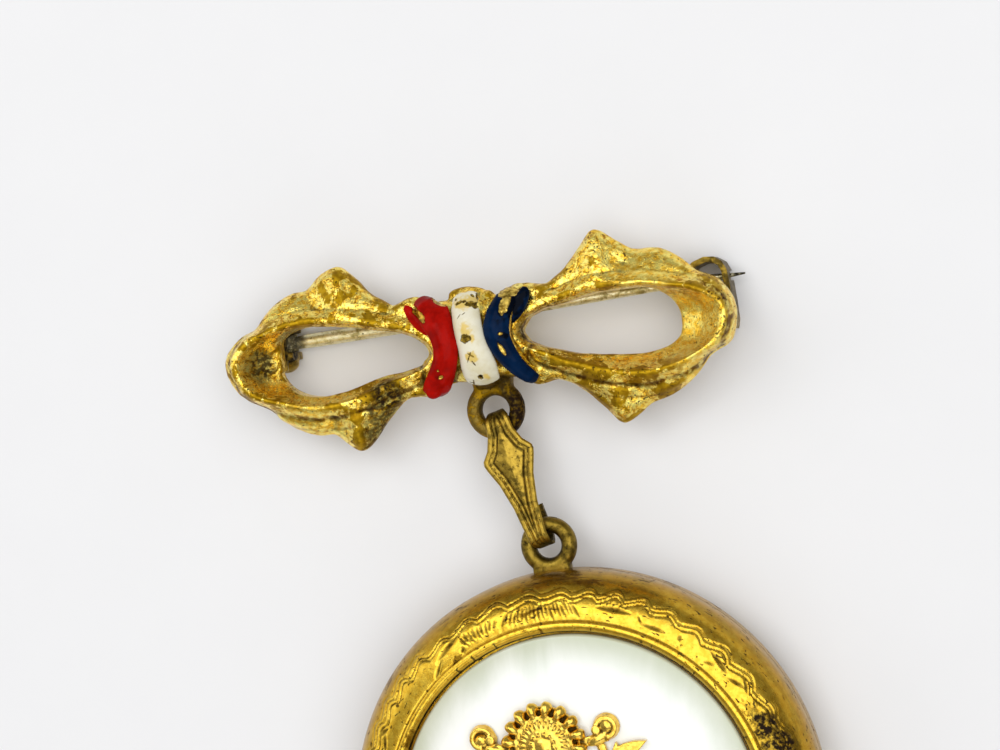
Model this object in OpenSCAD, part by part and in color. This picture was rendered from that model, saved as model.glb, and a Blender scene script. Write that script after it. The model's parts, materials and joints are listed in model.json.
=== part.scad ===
// Locket brooch: a gilt ribbon bow with an enamelled knot and a pin, a folded link, and a hinged
// round locket with a pearl disc. Millimetres. It lies face up: +X runs along the bow, +Y to the
// top of the brooch and +Z up from the surface.

/* [Bow] */
// Height of the back of the bow above the surface
bow_back = 2.8; // [2.7:0.1:3]
// Thickness of the cast metal of the loops
bow_wall = 0.9; // [0.7:0.1:1.1]
// Depth of the rounded outer edge of the loops
edge_depth = 0.7; // [0.5:0.1:0.8]
// Height of the three ribs of the knot above their own middle line
rib_rise = 0.75; // [0.6:0.05:0.85]
// Thickness of the enamel on the ribs
enamel_t = 0.18; // [0.12:0.02:0.24]

/* [Rings] */
// Distance from the middle of the bow down to the eyelet
eyelet_drop = 5; // [4.9:0.05:5.1]
// Outer radius of the eyelet under the knot
eyelet_r = 2.07; // [1.95:0.02:2.15]
// Radius of the eyelet's hole
eyelet_hole_r = 1; // [0.96:0.02:1.06]
// Outer radius of the locket's ring
bail_r = 2; // [1.9:0.02:2.1]
// Radius of the hole in the locket's ring
bail_hole_r = 0.88; // [0.86:0.01:0.94]
// Thickness of both rings
ring_t = 1.2; // [1:0.05:1.3]
// Height of the middle of both rings above the surface
ring_z = 3; // [2.9:0.05:3.05]

/* [Link] */
// Thickness of the folded strip
link_t = 0.38; // [0.3:0.02:0.42]
// Half of the strip's width at its widest corners
link_half_w = 1.85; // [1.5:0.05:2]
// Length of the ends folded back under the rings
fold_back = 3.1; // [2.6:0.1:3.4]
// Height of the raised kite on the strip
kite_h = 0.2; // [0.1:0.02:0.3]

/* [Pin] */
// Height of the pivot above the surface
pivot_z = 1; // [0.95:0.01:1.05]
// Radius of the straight part of the stem
stem_r = 0.5; // [0.4:0.02:0.55]
// Length of the stem from its pivot to its point
stem_l = 33.3; // [33:0.1:33.6]
// Length of the straight part, from the end of the neck on
stem_straight_l = 15.4; // [13:0.2:18]
// Radius of the stem's knuckle
knuckle_r = 0.66; // [0.6:0.02:0.7]
// Width of the stem's knuckle
knuckle_w = 1.2; // [1:0.05:1.4]
// Radius of the rivet through the hinge
rivet_r = 0.26; // [0.2:0.02:0.3]
// Angle between the stem and the line of the bow
pin_turn = 2.4; // [2:0.1:2.8]

/* [Catch] */
// Thickness of the bent strip
catch_t = 0.4; // [0.3:0.02:0.45]
// Width of the slot that the stem lies in
catch_slot = 0.72; // [0.66:0.02:0.9]

/* [Locket] */
// Outer radius of the locket
locket_r = 16.4; // [16.2:0.1:16.6]
// Height of the seam between the case and the cover
seam_z = 3.7; // [3.65:0.01:3.75]
// Radius of the flat middle of the back
back_flat_r = 10.5; // [9:0.5:11]
// Thickness of the case and the cover
sheet_t = 0.4; // [0.3:0.02:0.45]
// Height of the inner edge of the cover's rim
rim_z = 7.6; // [7.5:0.05:7.8]
// Radius of the opening in the rim
rim_hole_r = 12.6; // [12.4:0.05:12.8]
// Angle of the locket's ring from straight up
locket_turn = 3.4; // [3:0.1:3.8]

/* [Pearl and ornament] */
// Height of the edge of the pearl disc
pearl_edge_z = 7.22; // [7.1:0.02:7.3]
// Rise of the pearl disc at its middle
pearl_dome = 0.26; // [0.15:0.01:0.28]
// Distance from the middle of the ornament to its rosette
rosette_up = 5.3; // [5:0.1:5.5]
// Radius of the rosette's plain disc
rosette_r = 2.1; // [1.9:0.05:2.2]
// Angle of the ornament from straight up
ornament_turn = 1.8; // [0:0.2:4]

/* [Hidden] */

fit_gap = 0.03;
touch_gap = 0.02;
left_middle = [-9.47, -0.66];
right_middle = [8.44, 0.23];
eyelet_x = 0.1;
bail_middle = [2.85, -14.68];
bail_reach = 18.1;
locket_middle = bail_middle + bail_reach * [sin(locket_turn), -cos(locket_turn)];
stem_pivot = [-15.2, 1.17];

// One row for each point where a loop's outline or folds change, by angle round the loop's middle:
// angle, radius of the hole, of the crest and of the outer edge, height of crest, fold and edge
left_loop = [
    [0, 5.6, 6.1, 7.3, 5.2, 4.9, 4.2],
    [20, 4.35, 4.75, 7.2, 5.2, 4.9, 4.2],
    [40, 3, 3.4, 6.4, 5.3, 4.8, 4.1],
    [49, 2.72, 3.1, 4.8, 5.4, 4.8, 4.1],
    [68, 2.43, 2.8, 4.85, 5.5, 4.9, 4],
    [87, 2.42, 2.77, 6.15, 5.6, 4.9, 3.9],
    [94.6, 2.46, 2.82, 6.85, 5.6, 5.2, 4.1],
    [106, 2.65, 3, 6.72, 5.6, 4.9, 3.8],
    [120, 3.05, 3.4, 6.25, 5.7, 4.6, 3.7],
    [128, 3.45, 3.8, 6.75, 5.7, 4.9, 3.8],
    [143, 4.6, 4.9, 7.33, 5.8, 5.1, 3.9],
    [157, 5.65, 6.4, 7.75, 5.9, 5.3, 4],
    [162, 5.8, 7.1, 8.5, 6, 5.5, 4.2],
    [175, 5.75, 8.15, 9.44, 6.1, 5.7, 4.4],
    [190, 5.35, 7.45, 8.7, 6.1, 5.6, 4.3],
    [204, 4.5, 5.6, 7.03, 6, 5.3, 4.1],
    [213, 3.85, 4.75, 6.75, 5.9, 5.1, 4],
    [238, 2.45, 3.35, 5.84, 5.8, 4.9, 3.8],
    [247, 2.2, 3.05, 5.37, 5.7, 4.5, 3.7],
    [260, 1.95, 2.75, 5.92, 5.7, 4.8, 3.8],
    [269, 1.83, 2.63, 6.32, 5.6, 5.2, 4],
    [279, 1.76, 2.58, 5.65, 5.6, 4.9, 3.8],
    [292, 1.74, 2.58, 4.85, 5.5, 4.8, 3.9],
    [312, 1.9, 2.8, 4.5, 5.4, 4.8, 4],
    [323, 2.15, 3.05, 4.8, 5.3, 4.8, 4.1],
    [334, 2.6, 3.6, 6.6, 5.2, 4.6, 3.9],
];
right_loop = [
    [0, 5.33, 8.5, 9.27, 6.1, 5.9, 4.4],
    [14, 4.9, 6.7, 8.52, 6.1, 5.6, 4.3],
    [23, 4.45, 5.1, 7.3, 6, 5.2, 4.1],
    [32, 3.85, 4.2, 6.95, 5.9, 5.1, 4],
    [47, 2.85, 3.12, 6.35, 5.8, 4.9, 3.9],
    [63, 2.35, 2.65, 5.37, 5.7, 4.5, 3.7],
    [77, 2.12, 2.42, 5.72, 5.6, 4.8, 3.8],
    [90, 2.06, 2.35, 6.4, 5.6, 5.2, 4.1],
    [100, 2.04, 2.34, 5.6, 5.6, 4.9, 3.9],
    [112, 2.1, 2.42, 4.87, 5.5, 4.8, 4],
    [124, 2.22, 2.54, 4.55, 5.4, 4.8, 4.1],
    [140, 2.6, 2.95, 4.76, 5.3, 4.8, 4.1],
    [150, 3.1, 3.45, 6.5, 5.2, 4.9, 4.2],
    [180, 5.75, 6.05, 7.5, 5.2, 4.9, 4.2],
    [205, 3.6, 4.1, 6.9, 5.2, 4.6, 3.9],
    [217, 3, 3.6, 6.3, 5.3, 4.6, 4],
    [226, 2.7, 3.35, 4.95, 5.4, 4.8, 4.1],
    [237, 2.4, 3.08, 4.67, 5.5, 4.8, 4],
    [252, 2.22, 3, 4.98, 5.6, 4.9, 3.9],
    [267, 2.19, 3.1, 6, 5.6, 4.9, 3.8],
    [276.5, 2.22, 3.25, 7.08, 5.7, 5.2, 4],
    [286, 2.36, 3.5, 6.76, 5.7, 4.9, 3.8],
    [295, 2.55, 3.9, 6.46, 5.8, 4.6, 3.7],
    [307, 2.95, 4.5, 6.84, 5.9, 4.9, 3.8],
    [326, 4.1, 5.9, 7.42, 6, 5.2, 4],
    [337, 4.95, 7, 7.75, 6, 5.4, 4.2],
    [347, 5.4, 8.1, 9.05, 6.1, 5.8, 4.3],
];

// The ribs of the knot, from the top over the front to the bottom:
// angle over the knot, place along the bow, half of the rib's width
red_rib = [
    [-100, -4.2, 0.6],
    [-73, -3.95, 0.7],
    [-40, -2.9, 1.15],
    [-10, -2.32, 0.88],
    [6, -2.2, 0.85],
    [25, -2.42, 0.83],
    [45, -2.97, 0.92],
    [74, -3.72, 0.95],
    [100, -4, 0.9],
];
white_rib = [
    [-100, -0.8, 0.85],
    [-61, -0.76, 0.92],
    [-21, -0.54, 1],
    [0, -0.38, 1],
    [15, -0.24, 1.08],
    [37, -0.11, 1.3],
    [64, -0.13, 1.26],
    [100, -0.1, 1.15],
];
blue_rib = [
    [-100, 2.9, 0.7],
    [-67, 2.6, 0.75],
    [-46, 2.11, 0.8],
    [-10, 1.48, 0.9],
    [4, 1.57, 0.84],
    [18, 1.84, 0.77],
    [35, 2.28, 0.68],
    [53, 2.85, 0.6],
    [70, 3.35, 0.5],
    [100, 3.8, 0.5],
];
// The body under the ribs: place along the bow, half height, middle height, half depth
knot_body = [
    [-3.5, 2.7, 3.9, 1],
    [-2.8, 2.95, 4.1, 1.35],
    [-2, 2.85, 4.15, 1.4],
    [-1.2, 2.95, 4.2, 1.45],
    [-0.4, 3, 4.2, 1.5],
    [0.4, 3, 4.2, 1.5],
    [1.1, 2.85, 4.15, 1.4],
    [1.7, 2.9, 4.1, 1.35],
    [2.2, 2.85, 4, 1.2],
    [2.6, 2.6, 3.9, 1.05],
];
// The link's outline: share of the way between the rings, half width as a share of the widest
link_outline = [
    [0.005, 0.42],
    [0.16, 0.5],
    [0.25, 0.68],
    [0.33, 1],
    [0.37, 0.93],
    [0.5, 0.66],
    [0.68, 0.46],
    [0.9, 0.36],
    [1.003, 0.37],
];
// The catch's strip seen from above: its middle line, from the foot round to its free end
catch_line = [
    [14.3, 3.05],
    [14.85, 3.48],
    [15.55, 3.72],
    [16.15, 3.68],
    [16.6, 3.38],
    [16.85, 2.85],
    [16.95, 1.9],
    [17.03, 0.7],
    [17.08, -0.5],
    [16.95, -1.1],
];

// Smooth interpolation between the rows of a table, whose first column is the driver.
// turn is 360 for a table that closes on itself and 0 for one with two ends.
function row_at(t, i, turn) =
    turn == 0 ? t[max(0, min(len(t) - 1, i))]
    : concat(
        t[(i + len(t)) % len(t)][0] + turn * floor(i / len(t)),
        [for (k = [1:len(t[0]) - 1]) t[(i + len(t)) % len(t)][k]]
    );
function secant(a, b, k) = a[0] == b[0] ? undef : (b[k] - a[k]) / (b[0] - a[0]);
function slope(t, k, i, turn) =
    let (
        p = row_at(t, i, turn),
        before = secant(row_at(t, i - 1, turn), p, k),
        after = secant(p, row_at(t, i + 1, turn), k),
        s0 = is_undef(before) ? after : before,
        s1 = is_undef(after) ? before : after
    )
    s0 * s1 <= 0 ? 0 : 2 * s0 * s1 / (s0 + s1);
function eased(p, q, m0, m1, h, f) =
    (2 * f ^ 3 - 3 * f ^ 2 + 1) * p + (f ^ 3 - 2 * f ^ 2 + f) * h * m0
    + (3 * f ^ 2 - 2 * f ^ 3) * q + (f ^ 3 - f ^ 2) * h * m1;
function between(t, i, f, turn) =
    let (p = row_at(t, i, turn), q = row_at(t, i + 1, turn), h = q[0] - p[0])
    [
        for (k = [0:len(p) - 1])
        k == 0 ? p[0] + f * h
        : eased(p[k], q[k], slope(t, k, i, turn), slope(t, k, i + 1, turn), h, f)
    ];
function rows(t, steps, turn) = concat(
    [
        for (i = [0:len(t) - (turn == 0 ? 2 : 1)])
        for (j = [0:steps - 1])
        between(t, i, j / steps, turn)
    ],
    turn == 0 ? [t[len(t) - 1]] : []
);

// Surface through a list of rings with the same number of points, closed on itself or capped.
// Each ring runs clockwise when seen along the way from the first ring to the last.
module skin(rings, loop = false) {
    count = len(rings);
    n = len(rings[0]);
    spans = loop ? count : count - 1;
    sides = [
        for (i = [0:spans - 1])
        for (k = [0:n - 1])
        let (
            a = i * n + k,
            b = i * n + (k + 1) % n,
            c = ((i + 1) % count) * n + (k + 1) % n,
            d = ((i + 1) % count) * n + k
        )
        each [[a, d, c], [a, c, b]]
    ];
    caps = loop ? [] : [[for (k = [0:n - 1]) k], [for (k = [n - 1:-1:0]) (count - 1) * n + k]];
    polyhedron(points = [for (ring = rings) each ring], faces = concat(sides, caps));
}

// The bow

loop_steps = 3;

// Section of a loop from its hole outwards, over the crest and back underneath, as [radius, height]
function loop_section(hole, crest, edge, crest_z, fold_z, edge_z) =
    let (
        inner = crest - hole,
        outer = edge - crest,
        lip_z = max(bow_back + 0.95, crest_z - 0.3 - 0.95 * inner)
    )
    [
        [hole, lip_z],
        [hole + 0.5 * inner, lip_z + 0.36 * (crest_z - lip_z)],
        [crest, crest_z],
        [crest + min(0.3, 0.2 * outer), crest_z - 0.03],
        [crest + 0.55 * outer, fold_z],
        [crest + 0.85 * outer, 0.5 * (fold_z + edge_z) + 0.1],
        [edge, edge_z],
        [edge - 0.05, edge_z - edge_depth],
        [edge - 0.3 * outer, edge_z - edge_depth - 0.05],
        [crest + 0.45 * outer, fold_z - bow_wall],
        [crest, crest_z - bow_wall - 0.1],
        [hole + 0.5 * inner + 0.15, bow_back + 0.1],
        [hole, bow_back],
    ];

function loop_rings(table, middle) = [
    for (r = rows(table, loop_steps, 360))
    [
        for (p = loop_section(r[1], r[2], r[3], r[4], r[5], r[6]))
        [middle.x + p[0] * cos(r[0]), middle.y + p[0] * sin(r[0]), p[1]]
    ]
];

rib_half_y = 2.8;
rib_base_z = 3.6;
rib_half_z = 2.15;
rib_steps = 2;

// Middle line of a rib over the knot, and the side and outward directions there
function rib_point(phi, x, drop) =
    [x, -drop - rib_half_y * sin(phi), rib_base_z + rib_half_z * cos(phi)];
function rib_frame(line, i) =
    let (
        along = line[min(i + 1, len(line) - 1)] - line[max(i - 1, 0)],
        t = along / norm(along),
        s = [1, 0, 0] - t.x * t,
        side = s / norm(s)
    )
    [side, cross(t, side)];
function rib_line(table, drop) = [for (r = rows(table, rib_steps, 0)) rib_point(r[0], r[1], drop)];
function arc(from, to, n, half_w, rise) =
    [for (i = [0:n]) let (a = from + (to - from) * i / n) [half_w * cos(a), rise * sin(a)]];
function placed(section, middle, frame) = [for (p = section) middle + p[0] * frame[0] + p[1] * frame[1]];

module rib(table, drop) {
    line = rib_line(table, drop);
    wide = rows(table, rib_steps, 0);
    skin([
        for (i = [0:len(line) - 1])
        placed(arc(0, 330, 11, wide[i][2], rib_rise), line[i], rib_frame(line, i))
    ]);
}

// Enamel over the part of a rib between two of its rows, with thinner ends
enamel_side = 30;
enamel_side_share = 0.35;
module enamel(table, drop, first, last) {
    line = rib_line(table, drop);
    wide = rows(table, rib_steps, 0);
    skin([
        for (i = [first * rib_steps:last * rib_steps])
        let (
            at_end = i == first * rib_steps || i == last * rib_steps,
            inner_w = wide[i][2] + fit_gap,
            inner_h = rib_rise + fit_gap,
            t = at_end ? 0.35 * enamel_t : enamel_t
        )
        placed(
            concat(
                arc(enamel_side, 180 - enamel_side, 9, inner_w + enamel_side_share * t, inner_h + t),
                arc(180 - enamel_side, enamel_side, 9, inner_w, inner_h)
            ),
            line[i],
            rib_frame(line, i)
        )
    ]);
}

red_drop = 0.15;
white_drop = -0.1;
blue_drop = -0.05;

module knot_slice(row) {
    slice_t = 0.02;
    translate([row[0], 0, row[2]])
        rotate([90, 0, 90])
            linear_extrude(slice_t, center = true)
                scale([row[1], row[3]])
                    circle(1, $fn = 20);
}

module flat_ring(outer, hole, t) {
    bevel = 0.25 * t;
    rotate_extrude($fn = 40)
        polygon([
            [hole, -t / 2 + bevel],
            [hole + bevel, -t / 2],
            [outer - bevel, -t / 2],
            [outer, -t / 2 + bevel],
            [outer, t / 2 - bevel],
            [outer - bevel, t / 2],
            [hole + bevel, t / 2],
            [hole, t / 2 - bevel],
        ]);
}

// Flat seat on the back of a loop for the plate of the hinge or the catch
seat_t = 1.2;
module seat(outline) {
    translate([0, 0, bow_back])
        linear_extrude(seat_t)
            polygon(outline);
}

module bow() {
    color("goldenrod")
        translate(shift)
            union() {
                skin(loop_rings(left_loop, left_middle), loop = true);
                skin(loop_rings(right_loop, right_middle), loop = true);
                for (i = [0:len(knot_body) - 2])
                    hull() {
                        knot_slice(knot_body[i]);
                        knot_slice(knot_body[i + 1]);
                    }
                rib(red_rib, red_drop);
                rib(white_rib, white_drop);
                rib(blue_rib, blue_drop);
                translate([eyelet_x, -eyelet_drop, ring_z])
                    flat_ring(eyelet_r, eyelet_hole_r, ring_t);
                eyelet_neck();
                seat(hinge_plate);
                seat(catch_plate);
            }
}

// The metal that joins the eyelet to the knot, from the knot down to the ring
module eyelet_neck() {
    knot_y = -2.4;
    knot_w = 3;
    knot_l = 0.4;
    knot_extra_t = 0.5;
    low_y = -eyelet_drop + eyelet_hole_r + 0.35;
    low_w = 2.6;
    low_l = 0.2;
    inset = 0.15;
    hull() {
        translate([eyelet_x - knot_w / 2, knot_y, ring_z - ring_t / 2])
            cube([knot_w, knot_l, ring_t + knot_extra_t]);
        translate([eyelet_x - low_w / 2, low_y, ring_z - ring_t / 2 + inset])
            cube([low_w, low_l, ring_t - 2 * inset]);
    }
}

module red_enamel() {
    color("firebrick") translate(shift) enamel(red_rib, red_drop, 1, 7);
}

module white_enamel() {
    color("ivory") translate(shift) enamel(white_rib, white_drop, 1, 6);
}

module blue_enamel() {
    color("midnightblue") translate(shift) enamel(blue_rib, blue_drop, 1, 8);
}

// The pin: hinge, rivet, stem and catch. The hinge and stem are drawn along the stem's own line.

plate_t = 0.45;
plate_top = bow_back - touch_gap;
// Corners of the two plates, which stay inside the outline of the bow
hinge_plate = [[-16.4, -0.8], [-14.9, -0.8], [-14.9, 2.5], [-16.4, 2.5]];
catch_plate = [[14.1, 1.2], [17, 1.2], [17, 1.45], [16.4, 2.2], [15.7, 2.75], [14.7, 3.15], [14.1, 3.15]];
ear_t = 0.55;
knuckle_gap = 0.06;
rivet_head_t = 0.25;

module pin_frame() {
    translate(shift)
        translate([stem_pivot.x, stem_pivot.y, pivot_z])
            rotate([0, 0, pin_turn])
                children();
}

module plate(outline) {
    translate([0, 0, plate_top - plate_t])
        linear_extrude(plate_t)
            polygon(outline);
}

// A cylinder along the pivot, centred on the stem
module across(r, w) {
    rotate([90, 0, 0])
        cylinder(r = r, h = w, center = true, $fn = 48);
}

module pin_hinge() {
    ear_y = knuckle_w / 2 + knuckle_gap + ear_t / 2;
    color("darkgoldenrod")
        difference() {
            union() {
                translate(shift)
                    plate(hinge_plate);
                pin_frame()
                    for (side = [-1, 1])
                        translate([0, side * ear_y, 0]) {
                            across(pivot_z, ear_t);
                            translate([-pivot_z, -ear_t / 2, 0])
                                cube([2 * pivot_z, ear_t, plate_top - plate_t / 2 - pivot_z]);
                        }
            }
            pin_frame()
                across(rivet_r + fit_gap, knuckle_w + 4 * ear_t);
        }
}

module pin_rivet() {
    outer_y = knuckle_w / 2 + knuckle_gap + ear_t;
    head_r = 1.7 * rivet_r;
    color("darkgoldenrod")
        pin_frame() {
            across(rivet_r, 2 * (outer_y + touch_gap));
            for (side = [-1, 1])
                translate([0, side * (outer_y + touch_gap + rivet_head_t / 2), 0])
                    across(head_r, rivet_head_t);
        }
}

module pin_stem() {
    neck_l = 1.6;
    neck_r = 0.42;
    tip_l = 2.2;
    tip_r = 0.26;
    point_r = 0.06;
    taper_start = neck_l + stem_straight_l;
    color("silver")
        pin_frame()
            difference() {
                union() {
                    across(knuckle_r, knuckle_w);
                    rotate([0, 90, 0]) {
                        cylinder(r1 = neck_r, r2 = stem_r, h = neck_l, $fn = 40);
                        translate([0, 0, neck_l])
                            cylinder(r = stem_r, h = stem_straight_l, $fn = 40);
                        translate([0, 0, taper_start])
                            cylinder(r1 = stem_r, r2 = tip_r, h = stem_l - taper_start - tip_l, $fn = 40);
                        translate([0, 0, stem_l - tip_l])
                            cylinder(r1 = tip_r, r2 = point_r, h = tip_l, $fn = 40);
                    }
                }
                across(rivet_r + fit_gap, knuckle_w + 1);
            }
}

// Outline of a strip of even thickness along a line of points
function strip_side(line, off) = [
    for (i = [0:len(line) - 1])
    let (
        along = line[min(i + 1, len(line) - 1)] - line[max(i - 1, 0)],
        t = along / norm(along)
    )
    line[i] + off * [-t.y, t.x]
];
function reversed(list) = [for (i = [len(list) - 1:-1:0]) list[i]];

module catch() {
    slot_reach = 2.4;
    color("darkgoldenrod")
        difference() {
            translate(shift)
                union() {
                    linear_extrude(plate_top - plate_t / 2)
                        polygon(concat(
                            strip_side(catch_line, catch_t / 2),
                            reversed(strip_side(catch_line, -catch_t / 2))
                        ));
                    plate(catch_plate);
                }
            pin_frame()
                translate([stem_l - slot_reach, -catch_slot / 2, -2 * pivot_z])
                    cube([slot_reach, catch_slot, 2 * pivot_z + catch_slot / 2]);
        }
}

// The link: a flat strip, folded through both rings and back under them

eyelet_middle = [eyelet_x, -eyelet_drop];
link_run = norm(bail_middle - eyelet_middle);
link_turn = atan2(bail_middle.y - eyelet_middle.y, bail_middle.x - eyelet_middle.x);
link_gap = 0.1;

module link_frame() {
    translate(shift)
        translate([eyelet_middle.x, eyelet_middle.y, 0])
            rotate([0, 0, link_turn])
                children();
}

module link() {
    top_z = ring_z + ring_t / 2 + link_gap;
    low_z = ring_z - ring_t / 2 - link_gap - link_t;
    end = link_run + 0.03;
    start = 0.05;
    kite_half = 0.45 * link_half_w;
    kite_top = 0.12 * link_run;
    kite_widest = 0.33 * link_run;
    kite_point = 0.62 * link_run;
    color("darkgoldenrod")
        link_frame() {
            intersection() {
                translate([0, 0, low_z])
                    linear_extrude(top_z + link_t - low_z)
                        polygon(concat(
                            [for (r = link_outline) [r[0] * link_run, r[1] * link_half_w]],
                            reversed([for (r = link_outline) [r[0] * link_run, -r[1] * link_half_w]])
                        ));
                rotate([90, 0, 0])
                    linear_extrude(2 * link_half_w, center = true)
                        polygon([
                            [start, low_z],
                            [start, top_z + link_t],
                            [end, top_z + link_t],
                            [end, low_z],
                            [end - fold_back, low_z],
                            [end - fold_back, low_z + link_t],
                            [end - link_t, low_z + link_t],
                            [end - link_t, top_z],
                            [start + link_t, top_z],
                            [start + link_t, low_z + link_t],
                            [start + fold_back, low_z + link_t],
                            [start + fold_back, low_z],
                        ]);
            }
            translate([0, 0, top_z + link_t / 2])
                linear_extrude(link_t / 2 + kite_h)
                    polygon([
                        [kite_top, 0],
                        [kite_widest, kite_half],
                        [kite_point, 0],
                        [kite_widest, -kite_half],
                    ]);
        }
}

// The locket

curve_steps = 10;
seam_gap = 0.05;
lip_h = 0.6;
lip_gap = 0.06;
axis_reach = 0.66;
barrel_r = 0.55;
barrel_bore = 0.29;
hinge_pin_r = 0.26;
middle_barrel = 1.7;
side_barrel = 1.5;
barrel_gap = 0.06;
bore_l = middle_barrel + 2 * (side_barrel + 1);

// A quarter of an ellipse from [r0, z0] to [r1, z1], which leaves r0 upright and comes to z1 level
function quarter(r0, z0, r1, z1) = [
    for (i = [0:curve_steps])
    let (a = 90 * i / curve_steps)
    [r1 + (r0 - r1) * cos(a), z0 + (z1 - z0) * sin(a)]
];

module locket_frame() {
    translate(shift)
        translate([locket_middle.x, locket_middle.y, 0])
            rotate([0, 0, locket_turn])
                children();
}

// Barrels of the hinge, with their tabs, between two places along its pin
module hinge_barrel(y0, y1, tab_z0, tab_z1) {
    axis_x = -(locket_r + axis_reach);
    tab_in = locket_r - sheet_t + 0.1;
    translate([axis_x, y0, seam_z])
        rotate([-90, 0, 0])
            cylinder(r = barrel_r, h = y1 - y0, $fn = 40);
    translate([axis_x, y0, tab_z0])
        cube([-axis_x - tab_in, y1 - y0, tab_z1 - tab_z0]);
}

module hinge_bore() {
    translate([-(locket_r + axis_reach), 0, seam_z])
        rotate([90, 0, 0])
            cylinder(r = barrel_bore, h = bore_l, center = true, $fn = 40);
}

module locket_case() {
    wall_top = seam_z - seam_gap / 2;
    outer_curve_z = seam_z - 0.8;
    lip_r = locket_r - sheet_t - lip_gap;
    inner_r = lip_r - sheet_t;
    floor_t = sheet_t + 0.1;
    foot_w = 2.6;
    foot_in = 0.25;
    foot_l = 0.85;
    first = middle_barrel / 2 + barrel_gap;
    color("darkgoldenrod")
        locket_frame()
            difference() {
                union() {
                    rotate_extrude($fn = 180)
                        polygon(concat(
                            [[0, 0]],
                            reversed(quarter(locket_r, outer_curve_z, back_flat_r, 0)),
                            [
                                [locket_r, wall_top],
                                [lip_r, wall_top],
                                [lip_r, seam_z + lip_h],
                                [inner_r, seam_z + lip_h],
                            ],
                            quarter(inner_r, outer_curve_z, back_flat_r, floor_t),
                            [[0, floor_t]]
                        ));
                    translate([0, bail_reach, ring_z])
                        flat_ring(bail_r, bail_hole_r, ring_t);
                    translate([-foot_w / 2, locket_r - foot_in, ring_z - ring_t / 2])
                        cube([foot_w, foot_l, ring_t]);
                    for (side = [-1, 1])
                        hinge_barrel(
                            side > 0 ? first : -first - side_barrel,
                            side > 0 ? first + side_barrel : -first,
                            seam_z - barrel_r,
                            wall_top
                        );
                }
                hinge_bore();
            }
}

module locket_cover() {
    rim_start_z = seam_z + 0.5;
    crown_r = rim_hole_r + 0.75;
    crown_z = rim_z - 0.05;
    seat_z = pearl_bottom_z - touch_gap;
    well_r = rim_hole_r - 0.1;
    color("gold")
        locket_frame()
            difference() {
                union() {
                    rotate_extrude($fn = 180)
                        polygon(concat(
                            [[locket_r, seam_z + seam_gap / 2]],
                            quarter(locket_r, rim_start_z, crown_r, crown_z),
                            [
                                [rim_hole_r + 0.55, rim_z - 0.12],
                                [rim_hole_r + 0.4, rim_z + 0.02],
                                [rim_hole_r + 0.25, rim_z + 0.02],
                                [rim_hole_r + 0.15, rim_z - 0.1],
                                [rim_hole_r, rim_z - 0.12],
                                [well_r, rim_z - 0.35],
                                [well_r, seat_z],
                                [0, seat_z],
                                [0, seat_z - sheet_t],
                                [well_r + sheet_t, seat_z - sheet_t],
                                [well_r + sheet_t, rim_z - 0.3 - sheet_t],
                            ],
                            reversed(quarter(
                                locket_r - sheet_t,
                                rim_start_z,
                                crown_r,
                                crown_z - sheet_t
                            )),
                            [[locket_r - sheet_t, seam_z + seam_gap / 2]]
                        ));
                    hinge_barrel(
                        -middle_barrel / 2,
                        middle_barrel / 2,
                        seam_z + seam_gap,
                        seam_z + barrel_r
                    );
                }
                hinge_bore();
            }
}

module locket_hinge_pin() {
    length = middle_barrel + 2 * (side_barrel + barrel_gap);
    color("darkgoldenrod")
        locket_frame()
            translate([-(locket_r + axis_reach), 0, seam_z])
                rotate([90, 0, 0])
                    cylinder(r = hinge_pin_r, h = length, center = true, $fn = 40);
}

pearl_bottom_z = 6;
pearl_r = rim_hole_r - 0.25;

// Height of the pearl disc's top at a radius
function pearl_z(r) = pearl_edge_z + pearl_dome * (1 - (r / pearl_r) ^ 2);

module pearl_disc() {
    round_r = 0.3;
    bevel_r = pearl_r - 0.12;
    bevel_drop = 0.1;
    color("whitesmoke")
        locket_frame()
            rotate_extrude($fn = 120)
                polygon(concat(
                    [
                        [0, pearl_bottom_z],
                        [pearl_r, pearl_bottom_z],
                        [pearl_r, pearl_edge_z - round_r],
                        [bevel_r, pearl_z(bevel_r) - bevel_drop],
                        [pearl_r - round_r, pearl_z(pearl_r - round_r)],
                    ],
                    [for (share = [0.75, 0.5, 0.25, 0]) [share * pearl_r, pearl_z(share * pearl_r)]]
                ));
}

// The ornament on the pearl disc: a rosette between two scrolls over a wreath

ornament_middle = [2.4, -32.92];
disc_top_z = pearl_edge_z + pearl_dome + touch_gap;
base_t = 0.3;
bead_count = 16;
bead_r = 0.42;
petal_count = 6;
petal_r = 0.38;
leaf_count = 7;
wreath_r = 5.7;
wreath_sweep = 268;
wreath_end = -90 + wreath_sweep / 2;
branch_end = wreath_r * [cos(wreath_end), sin(wreath_end)];
scroll_middle = [4.3, 0.8];
scroll_r = 0.65;
scroll_half_w = 0.3;
scroll_bar_h = 0.45;
scroll_curl_h = 0.6;
scroll_end_h = 0.68;
scroll_end_r = [0.42, 0.3];

// Half outline of a leaf, from its stalk to its tip: share of its length, share of its half width
leaf_outline = [
    [0, 0.3],
    [0.25, 0.85],
    [0.5, 1],
    [0.75, 0.7],
    [1, 0.04],
];

module leaf(from, to, half_w, h) {
    along = to - from;
    length = norm(along);
    side = [for (p = leaf_outline) [p[0] * length, p[1] * half_w]];
    translate([from.x, from.y, disc_top_z])
        rotate([0, 0, atan2(along.y, along.x)])
            linear_extrude(h)
                polygon(concat(side, reversed([for (p = side) [p.x, -p.y]])));
}

// Section of a raised branch that lies round the origin at a radius
module branch_section(r, half_w, h) {
    polygon([[r - half_w, 0], [r - 0.45 * half_w, h], [r + 0.45 * half_w, h], [r + half_w, 0]]);
}

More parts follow.
